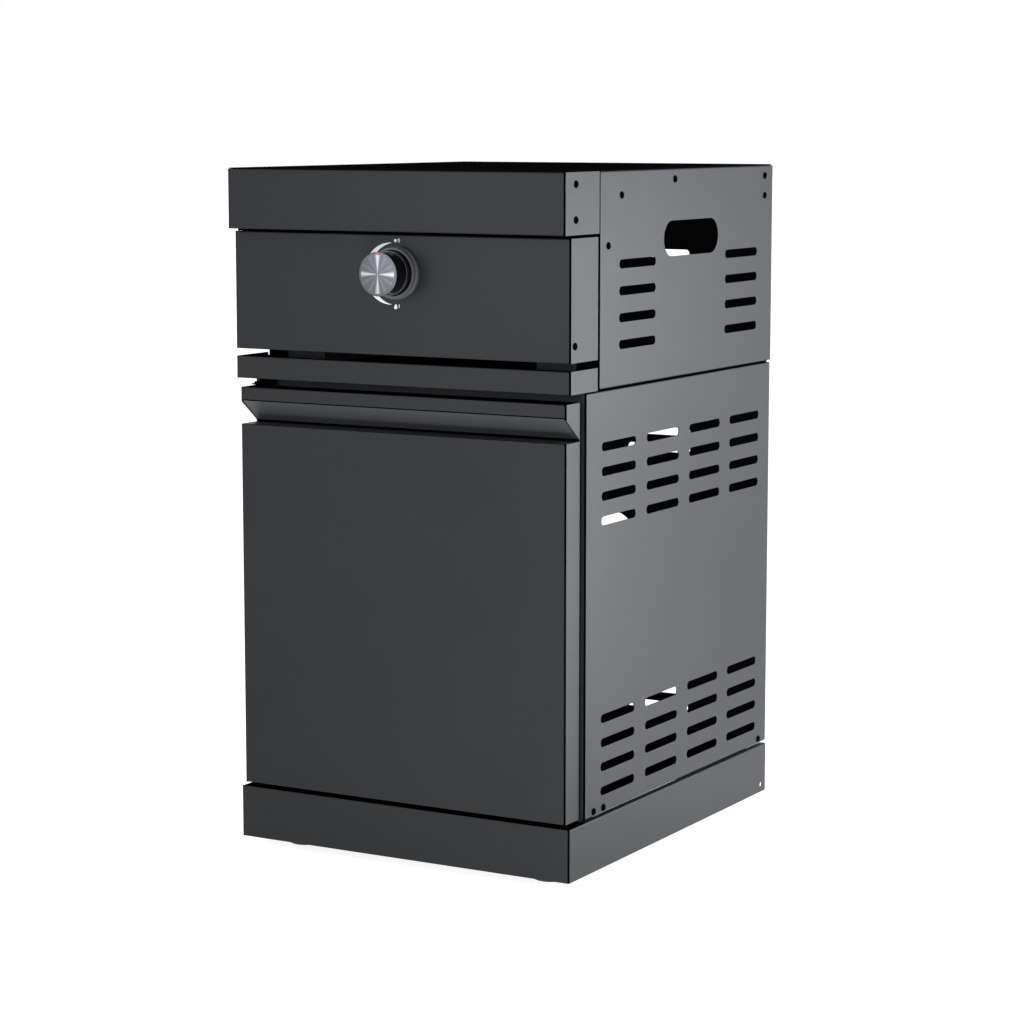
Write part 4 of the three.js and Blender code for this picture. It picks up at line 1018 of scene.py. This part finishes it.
cap_low, cap_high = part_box("burner_cap")
cap_radius = (cap_high.x - cap_low.x) / 2
cap_height = cap_high.z - cap_low.z
spigot_radius = 0.03
spigot_height = 0.0053
cap_profile = [
    (0, 0), (spigot_radius, 0), (spigot_radius, spigot_height), (cap_radius, spigot_height),
    (cap_radius, spigot_height + 0.0032), (0.038, cap_height - 0.001),
    (0.02, cap_height - 0.0002), (0, cap_height),
]
cap_iron = grained(
    "cap_enamel", (0.008, 0.008, 0.0085), (0.014, 0.014, 0.015), (0.35, 0.5), grains=900,
    clouds=40, depth=1e-4,
)
cap = turned(cap_profile, Vector((*middle, cap_low.z)), ease=0.0014)
fit(piece("loose_cap", [cap], [cap_iron]), "cap", "cast_iron", "burner_cap")

place, length = stand("ignition_electrode")
tip_length = 0.007
ceramic_profile = [
    (0, 0), (0.0035, 0), (0.0035, 0.0103), (0.0065, 0.0103), (0.0065, 0.013), (0.0035, 0.013),
    (0.0035, length - tip_length), (0, length - tip_length),
]
wire_low = length - 2 * tip_length
wire_profile = [(0, wire_low), (0.001, wire_low), (0.001, length), (0, length)]
ceramic = grained(
    "glazed_ceramic", (0.62, 0.58, 0.5), (0.72, 0.69, 0.62), (0.15, 0.25), grains=500
)
shapes = [
    turned(ceramic_profile, place, ease=0.0005, steps=32),
    turned(wire_profile, place, ease=0.0003, finish=1, steps=16),
]
electrode = piece("spark_electrode", shapes, [ceramic, zinc])
fit(electrode, "root", "ceramic", "ignition_electrode")

# The grate: one iron casting that stands on four legs in the bowl. A square frame carries a
# ring and eight tapered bars, four of which reach in over the burner.
grate_bar = 0.009
grate_corner = 0.012
bar_depth = 0.01
bar_draft = 0.0008
finger_width = 0.008
finger_top_share = 0.72
finger_start = 0.032
finger_slant = 0.002
ring_inner, ring_outer = 0.0915, 0.0985
leg_size = 0.011
leg_inset = 0.006
grate_ease = 0.0009
grate_sharp = radians(35)
cast_iron = grained(
    "enamelled_iron", (0.005, 0.005, 0.0052), (0.0085, 0.0085, 0.009), (0.5, 0.65), grains=900,
    clouds=40, depth=1.2e-4, shine=0,
)
grate_half = (grate_high.x - grate_low.x) / 2
bar_low = grate_high.z - bar_depth
frame_inner = grate_half - grate_bar
square = bmesh.new()
frame_rings = []
for half, height in (
    (grate_half, bar_low), (grate_half - bar_draft, grate_high.z),
    (frame_inner + bar_draft, grate_high.z), (frame_inner, bar_low),
):
    corner = grate_corner - (grate_half - half)
    frame_rings.append(rounded_ring(square, middle, (half, half), corner, height))
lofted(square, frame_rings, closed=True)


def moved(shape, x, y):
    bmesh.ops.translate(shape, verts=shape.verts, vec=(burner_axis.x + x, burner_axis.y + y, 0))
    return shape


def cast_bar(start, end, angle):
    """A bar, narrower above than below, from one distance off the burner's axis to another."""
    shape = bmesh.new()
    corners = []
    for height, half, near in (
        (bar_low, finger_width / 2, start),
        (grate_high.z, finger_width / 2 * finger_top_share, start + finger_slant),
    ):
        for on, side in ((near, -half), (end, -half), (end, half), (near, half)):
            corners.append(shape.verts.new((on, side, height)))
    sides = (3, 2, 1, 0), (4, 5, 6, 7), (0, 1, 5, 4), (1, 2, 6, 5), (2, 3, 7, 6), (3, 0, 4, 7)
    for face in sides:
        shape.faces.new([corners[index] for index in face])
    bmesh.ops.rotate(shape, verts=shape.verts, matrix=Matrix.Rotation(angle, 3, "Z"))
    return moved(shape, 0, 0)


bar_bottom, bar_top = bar_low - burner_axis.z, grate_high.z - burner_axis.z
ring_profile = [
    (ring_inner, bar_bottom), (ring_outer, bar_bottom), (ring_outer - bar_draft, bar_top),
    (ring_inner + bar_draft, bar_top),
]
castings = [turned(ring_profile, burner_axis, closed=True)]
leg = leg_size / 2
leg_middle = grate_half - leg_inset - leg
leg_outline = [(-leg, -leg), (leg, -leg), (leg, leg), (-leg, leg)]
for quarter in range(4):
    castings.append(cast_bar(finger_start, frame_inner + grate_bar / 2, quarter * QUARTER))
    diagonal = (quarter + 0.5) * QUARTER
    castings.append(cast_bar((ring_inner + ring_outer) / 2, leg_middle * sqrt(2), diagonal))
    leg_shape = prism(leg_outline, grate_low.z, (bar_low + grate_high.z) / 2)
    sign_x, sign_y = corner_signs(quarter)
    castings.append(moved(leg_shape, sign_x * leg_middle, sign_y * leg_middle))
whole = shape_object("grate_frame", outwards(square))
tools = [linked(shape_object("casting", casting)) for casting in castings]
for tool in tools:
    modified(whole, "join", "BOOLEAN", operation="UNION", solver="EXACT", object=tool)
grate = piece("cast_grate", [shape_of(whole)], [cast_iron], sharp=grate_sharp)
for tool in tools:
    bpy.data.objects.remove(tool)
modified(
    grate, "edges", "BEVEL", width=grate_ease, segments=2, limit_method="ANGLE",
    angle_limit=grate_sharp, harden_normals=True,
)
fit(grate, "grate", "cast_iron", "pan_grate")

# The gas train behind the control panel: a cast valve on its bracket, the brass orifice, the
# burner tube with its air shutter, the spark maker, and the supply pipe behind, painted near-black
# as painted shade.
gas_steel = grained(
    "drawn_steel", (0.3, 0.3, 0.31), (0.4, 0.4, 0.41), (0.3, 0.45), grains=1600, clouds=50,
    metal=1,
)
dress(gas_steel, "burner_tube", "valve_stem")
# Painted shade: the supply pipe is near-black all over.
dress(painted_shade_coat, "gas_pipe")
dress(zinc, "valve_bracket", "air_shutter")
dress(cast_aluminium, "valve_body")
dress(brass, "valve_gland", "gas_orifice", "gas_inlet")
dress(catch_plastic, "piezo_igniter")

spring_turns = 7
wire_radius = 0.0006
wire_steps = 24
low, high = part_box("valve_spring")
coil_radius = (high.x - low.x) / 2 - wire_radius
spring_run = high.y - low.y - 2 * wire_radius
coil = bpy.data.curves.new("return_spring", "CURVE")
coil.dimensions = "3D"
coil.bevel_depth = wire_radius
coil.bevel_resolution = 2
coil.use_fill_caps = True
coil_points = coil.splines.new("POLY").points
coil_points.add(spring_turns * wire_steps)
for step, point in enumerate(coil_points):
    turn = 2 * pi * step / wire_steps
    on = low.y + wire_radius + spring_run * step / (spring_turns * wire_steps)
    point.co = (coil_radius * cos(turn), on, (low.z + high.z) / 2 + coil_radius * sin(turn), 1)
spring = piece("return_spring", [shape_of(bpy.data.objects.new("return_spring", coil))], [zinc])
fit(spring, "knob_slider", "steel", "valve_spring")

# The knob: a gloss black moulding with a spun aluminium face let into its front, a thin
# aluminium ring near its rear edge and a red tick, over a bezel on the control panel.
knob_place = Vector((0, face_low.y, knob_axis_z))
knob_reach = 0.0479
panel_face = face_low.y + knob_reach
face_radius = 0.0286
face_thickness = 0.0016
spun_radius = 0.0252
face_chamfer = 0.0009
lathe_pitch = 0.0004
painted_ray_unevenness = 0.14
painted_ray_brightness = 0.62
painted_ray_darkest = 0.04
knob_gap = 0.0003
bright_width = 0.0018
tick_sink = 0.00006
gloss_black = grained(
    "gloss_black", (0.003, 0.003, 0.0035), (0.005, 0.005, 0.0055), (0.18, 0.24), grains=400,
    depth=1e-5, shine=0.3,
)
satin_black = grained(
    "satin_black", (0.1, 0.102, 0.106), (0.12, 0.122, 0.127), (0.35, 0.45), grains=2000,
    depth=1e-5, shine=0.4,
)
bright_metal = grained(
    "bright_metal", (0.1, 0.1, 0.105), (0.13, 0.13, 0.136), (0.3, 0.36), grains=2500, clouds=90,
    depth=1e-5, metal=1,
)

# The spun face's colour carries painted highlights: a bright cross of rays and fainter rays
# between, where a lathe-spun face would catch the lamps, over a dark tone outside the spun disc.
spun, tree, shader = bare("spun_aluminium_painted_highlights")
shader["Metallic"].default_value = 1.0
shader["Roughness"].default_value = 0.38
place = node(tree, "ShaderNodeTexCoord").outputs["Object"]
centred = flow(tree, "ShaderNodeMapping", Vector=place, Location=(0, 0, -knob_axis_z))
across, _, up = node(tree, "ShaderNodeSeparateXYZ", Vector=centred).outputs
step_of = partial(sums, tree)
turn = step_of("ARCTAN2", up, across)
squares = step_of("ADD", step_of("POWER", across, 2.0), step_of("POWER", up, 2.0))
radius = step_of("SQRT", squares)


def painted_highlight_rays(count, sharpness, strength):
    """Painted highlights: bright rays, evenly spaced round the face."""
    wave = step_of("COSINE", step_of("MULTIPLY", turn, count))
    ray = step_of("POWER", step_of("MULTIPLY_ADD", wave, 0.5), sharpness)
    return step_of("MULTIPLY", ray, strength)


strong = painted_highlight_rays(count=4.0, sharpness=16.0, strength=0.44)
rays = step_of("ADD", strong, painted_highlight_rays(count=12.0, sharpness=2.5, strength=0.06))
heading = flow(
    tree, "ShaderNodeCombineXYZ", X=step_of("COSINE", turn), Y=step_of("SINE", turn)
)
uneven = flow(tree, "ShaderNodeTexNoise", Vector=heading, Scale=9.0, Detail=3.0)
rays = step_of("ADD", rays, step_of("MULTIPLY", uneven, painted_ray_unevenness))
rays = step_of("MULTIPLY", rays, step_of("LESS_THAN", radius, spun_radius))
rays = step_of("MAXIMUM", step_of("MULTIPLY", rays, painted_ray_brightness), painted_ray_darkest)
tinted = mixed(tree, rays, (0.05, 0.052, 0.056, 1), (0.95, 0.96, 0.98, 1))
tree.links.new(tinted, shader["Base Color"])
lathe_lines = step_of("SINE", step_of("MULTIPLY", radius, 2 * pi / lathe_pitch))
lines = flow(tree, "ShaderNodeBump", Height=lathe_lines, Distance=4e-6, Strength=1.0)
tree.links.new(lines, shader["Normal"])

face_profile = [
    (0, 0), (face_radius - face_chamfer, 0), (face_radius, face_chamfer),
    (face_radius, face_thickness), (0, face_thickness),
]
face_shape = turned(face_profile, knob_place, REAR)
for face in face_shape.faces:
    if abs(face.normal.y) < square_on:
        face.material_index = 1
fit(piece("spun_face", [face_shape], [spun, bright_metal]), "knob", "aluminium", "knob_face")

body_front = face_thickness + knob_gap
ring_front = knob_reach - 0.0224
ring_rear = ring_front + 0.006
body_rear = knob_reach - 0.0114
body_profile = [
    (0, body_front), (0.0281, body_front), (0.0281, ring_front - knob_gap),
    (0.026, ring_front - knob_gap), (0.026, body_rear), (0.0235, body_rear),
    (0.0235, body_front + 0.004), (0.008, body_front + 0.004), (0.008, body_front + 0.026),
    (0.0043, body_front + 0.026), (0.0043, body_front + 0.0037), (0, body_front + 0.0037),
]
body = turned(body_profile, knob_place, REAR, ease=0.0006)
fit(piece("knob_moulding", [body], [gloss_black]), "knob", "black_plastic", "knob_body")
ring_profile = [
    (0.0263, ring_front), (0.0288, ring_front), (0.0288, ring_rear), (0.0263, ring_rear)
]
ring = turned(ring_profile, knob_place, REAR, ease=0.0005, closed=True)
bright_reach = knob_place.y + ring_front + bright_width
for face in ring.faces:
    face.material_index = 0 if face.calc_center_median().y < bright_reach else 1
ring_piece = piece("knob_trim_ring", [ring], [bright_metal, gloss_black])
fit(ring_piece, "knob", "aluminium", "knob_ring")


def upright(shape, front):
    """A flat shape stood up, with its upper side to the front."""
    for vert in shape.verts:
        x, z, out = vert.co
        vert.co = (x, front - out, z)
    return outwards(shape)


low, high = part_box("knob_pointer")
red_fill = grained("red_fill", (0.8, 0.07, 0.075), (0.88, 0.09, 0.095), (0.25, 0.35), grains=900)
half = (high.x - low.x) / 2
tick_outline = [(-half, low.z), (half, low.z), (half, high.z), (-half, high.z)]
tick = upright(prism(tick_outline, -high.y, -low.y + tick_sink), 0)
fit(piece("red_tick", [tick], [red_fill]), "knob", "pointer_red", "knob_pointer")

bezel_profile = [
    (0.0297, -0.0132), (0.033, -0.0132), (0.033, -0.0082), (0.0347, -0.006), (0.0347, -0.0003),
    (0.0297, -0.0003),
]
bezel_place = Vector((0, panel_face, knob_axis_z))
bezel = turned(bezel_profile, bezel_place, REAR, ease=0.0008, closed=True)
fit(piece("panel_bezel", [bezel], [satin_black]), "root", "black_plastic", "knob_bezel")

# The printed scale round the knob: a white crescent that swells from low to high, with
# a dot and a plain 0 at its upper end and a small flame and a plain 1 at its lower end.
ink_height = 0.00005
outer_arc = ((-0.0101, -0.0016), 0.0403)
inner_arc = ((-0.0012, -0.0018), 0.0406)
tip_x = -0.009
arc_steps = 40
dot_radius = 0.0021
dot_steps = 24
flame_steps = 32
flame_half = 0.0033
flame_width = 0.0036
flame_taper = 0.6
flame_lean = 0.0004
flame_drop = 0.0005
mark_size = 0.0068
mark_x = -0.0027
mark_gap = 0.0036
off_z = 0.0414
on_z = -0.0438
print_white = grained("print_white", (0.92,) * 3, (0.97,) * 3, (0.45, 0.55), grains=2500)


def printed(outline):
    """A flat shape, given round the knob's axis, as ink on the control panel."""
    outline = [(x, z + knob_axis_z) for x, z in outline]
    return upright(prism(outline, 0, ink_height), panel_face)


def arc_points(arc):
    """The part of a circle that lies left of the crescent's tips, from above to below."""
    (x, z), radius = arc
    start = acos((tip_x - x) / radius)
    angles = [start + 2 * (pi - start) * step / arc_steps for step in range(arc_steps + 1)]
    return [(x + radius * cos(a), z + radius * sin(a)) for a in angles]


def figure(text, z):
    """A plain figure as ink."""
    font = bpy.data.curves.new("figure", "FONT")
    font.body = text
    font.size = mark_size
    font.align_y = "CENTER"
    font.offset = 0.0001
    font.extrude = ink_height / 2
    shape = shape_of(bpy.data.objects.new("figure", font))
    place = (mark_x + mark_gap, knob_axis_z + z, ink_height / 2)
    bmesh.ops.translate(shape, verts=shape.verts, vec=place)
    return upright(merged(shape), panel_face)


dot, flame = [], []
for step in range(dot_steps):
    angle = 2 * pi * step / dot_steps
    dot.append((mark_x + dot_radius * cos(angle), off_z + dot_radius * sin(angle)))
for step in range(flame_steps):
    angle = 2 * pi * step / flame_steps
    lift = 0.5 + 0.5 * cos(angle)
    width = flame_width * sin(angle) * (1 - flame_taper * lift ** flame_taper)
    x = mark_x + width + flame_lean * lift
    flame.append((x, on_z - flame_drop + flame_half * cos(angle)))
shapes = [printed(arc_points(outer_arc) + arc_points(inner_arc)[::-1]), printed(dot)]
shapes += [printed(flame), figure("0", off_z), figure("1", on_z)]
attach(piece("printed_scale", shapes, [print_white]), "root")

# The studio: a pale floor, a white room, four soft boxes at the right that light the side panels
# most strongly near the front, and three more before the front.
floor_size = 40
floor_grey = 0.85
floor_glow = 0.86
floor_mesh = bpy.data.meshes.new("studio_floor")
corners = [(x * floor_size, y * floor_size, 0) for x, y in ((-1, -1), (1, -1), (1, 1), (-1, 1))]
floor_mesh.from_pydata(corners, [], [(0, 1, 2, 3)])
studio_floor = linked(bpy.data.objects.new("studio_floor", floor_mesh))


def seen_directly(tree):
    """1 for rays from the camera, or on their way through a mirror or a glass, else 0."""
    path = node(tree, "ShaderNodeLightPath").outputs
    shiny = sums(tree, "MAXIMUM", path["Is Glossy Ray"], path["Is Transmission Ray"])
    return sums(tree, "MAXIMUM", path["Is Camera Ray"], shiny)


floor_material, tree, _ = bare("studio_floor")
tree.nodes.remove(tree.nodes["Principled BSDF"])
matt = flow(tree, "ShaderNodeBsdfDiffuse", Color=(*(floor_grey,) * 3, 1))
seen = sums(tree, "MULTIPLY", seen_directly(tree), floor_glow)
both = flow(
    tree, "ShaderNodeAddShader", _0=matt, _1=flow(tree, "ShaderNodeEmission", Strength=seen)
)
tree.links.new(both, tree.nodes["Material Output"].inputs["Surface"])
floor_mesh.materials.append(floor_material)

ambient = 0.45
scene.world = bpy.data.worlds.new("studio")
scene.world.use_nodes = True
tree = scene.world.node_tree
background = tree.nodes["Background"].inputs
direct = sums(tree, "MULTIPLY", seen_directly(tree), 1 - ambient)
tree.links.new(sums(tree, "ADD", direct, ambient), background["Strength"])
is_camera = node(tree, "ShaderNodeLightPath").outputs["Is Camera Ray"]
tree.links.new(mixed(tree, is_camera, (0.95, 0.98, 1.06, 1), (1, 1, 1, 1)), background["Color"])

for name, place, aim, size, power in (
    ("side_high", (1.2, 1.3, 0.8), (0.256, -0.15, 0.6), (0.4, 0.8), 9.6),
    ("side_low", (1.3, 0.9, 0.2), (0.256, -0.2, 0.3), (0.4, 0.4), 3.4),
    ("side_near", (1.0, 0.6, 0.5), (0.256, -0.25, 0.5), (0.3, 0.9), 11.2),
    ("side_foot", (1.0, 0.2, 0.1), (0.256, -0.2, 0.1), (0.3, 0.2), 2.3),
    ("front_right", (0.6, -2.2, 0.9), (0.1, -0.28, 0.7), (0.5, 0.5), 2.5),
    ("front_left", (-0.4, -1.5, 0.9), (0.1, -0.28, 0.8), (0.5, 0.5), 4.7),
    ("front_low", (0.4, -1.1, 0.15), (0.1, -0.28, 0.6), (0.4, 0.2), 3.6),
):
    lamp = bpy.data.lights.new(name, "AREA")
    lamp.color = (0.94, 0.98, 1.0)
    lamp.shape = "RECTANGLE"
    lamp.size, lamp.size_y = size
    lamp.energy = power
    holder = linked(bpy.data.objects.new(name, lamp))
    holder.location = place
    holder.rotation_euler = (Vector(aim) - Vector(place)).to_track_quat("-Z", "Y").to_euler()
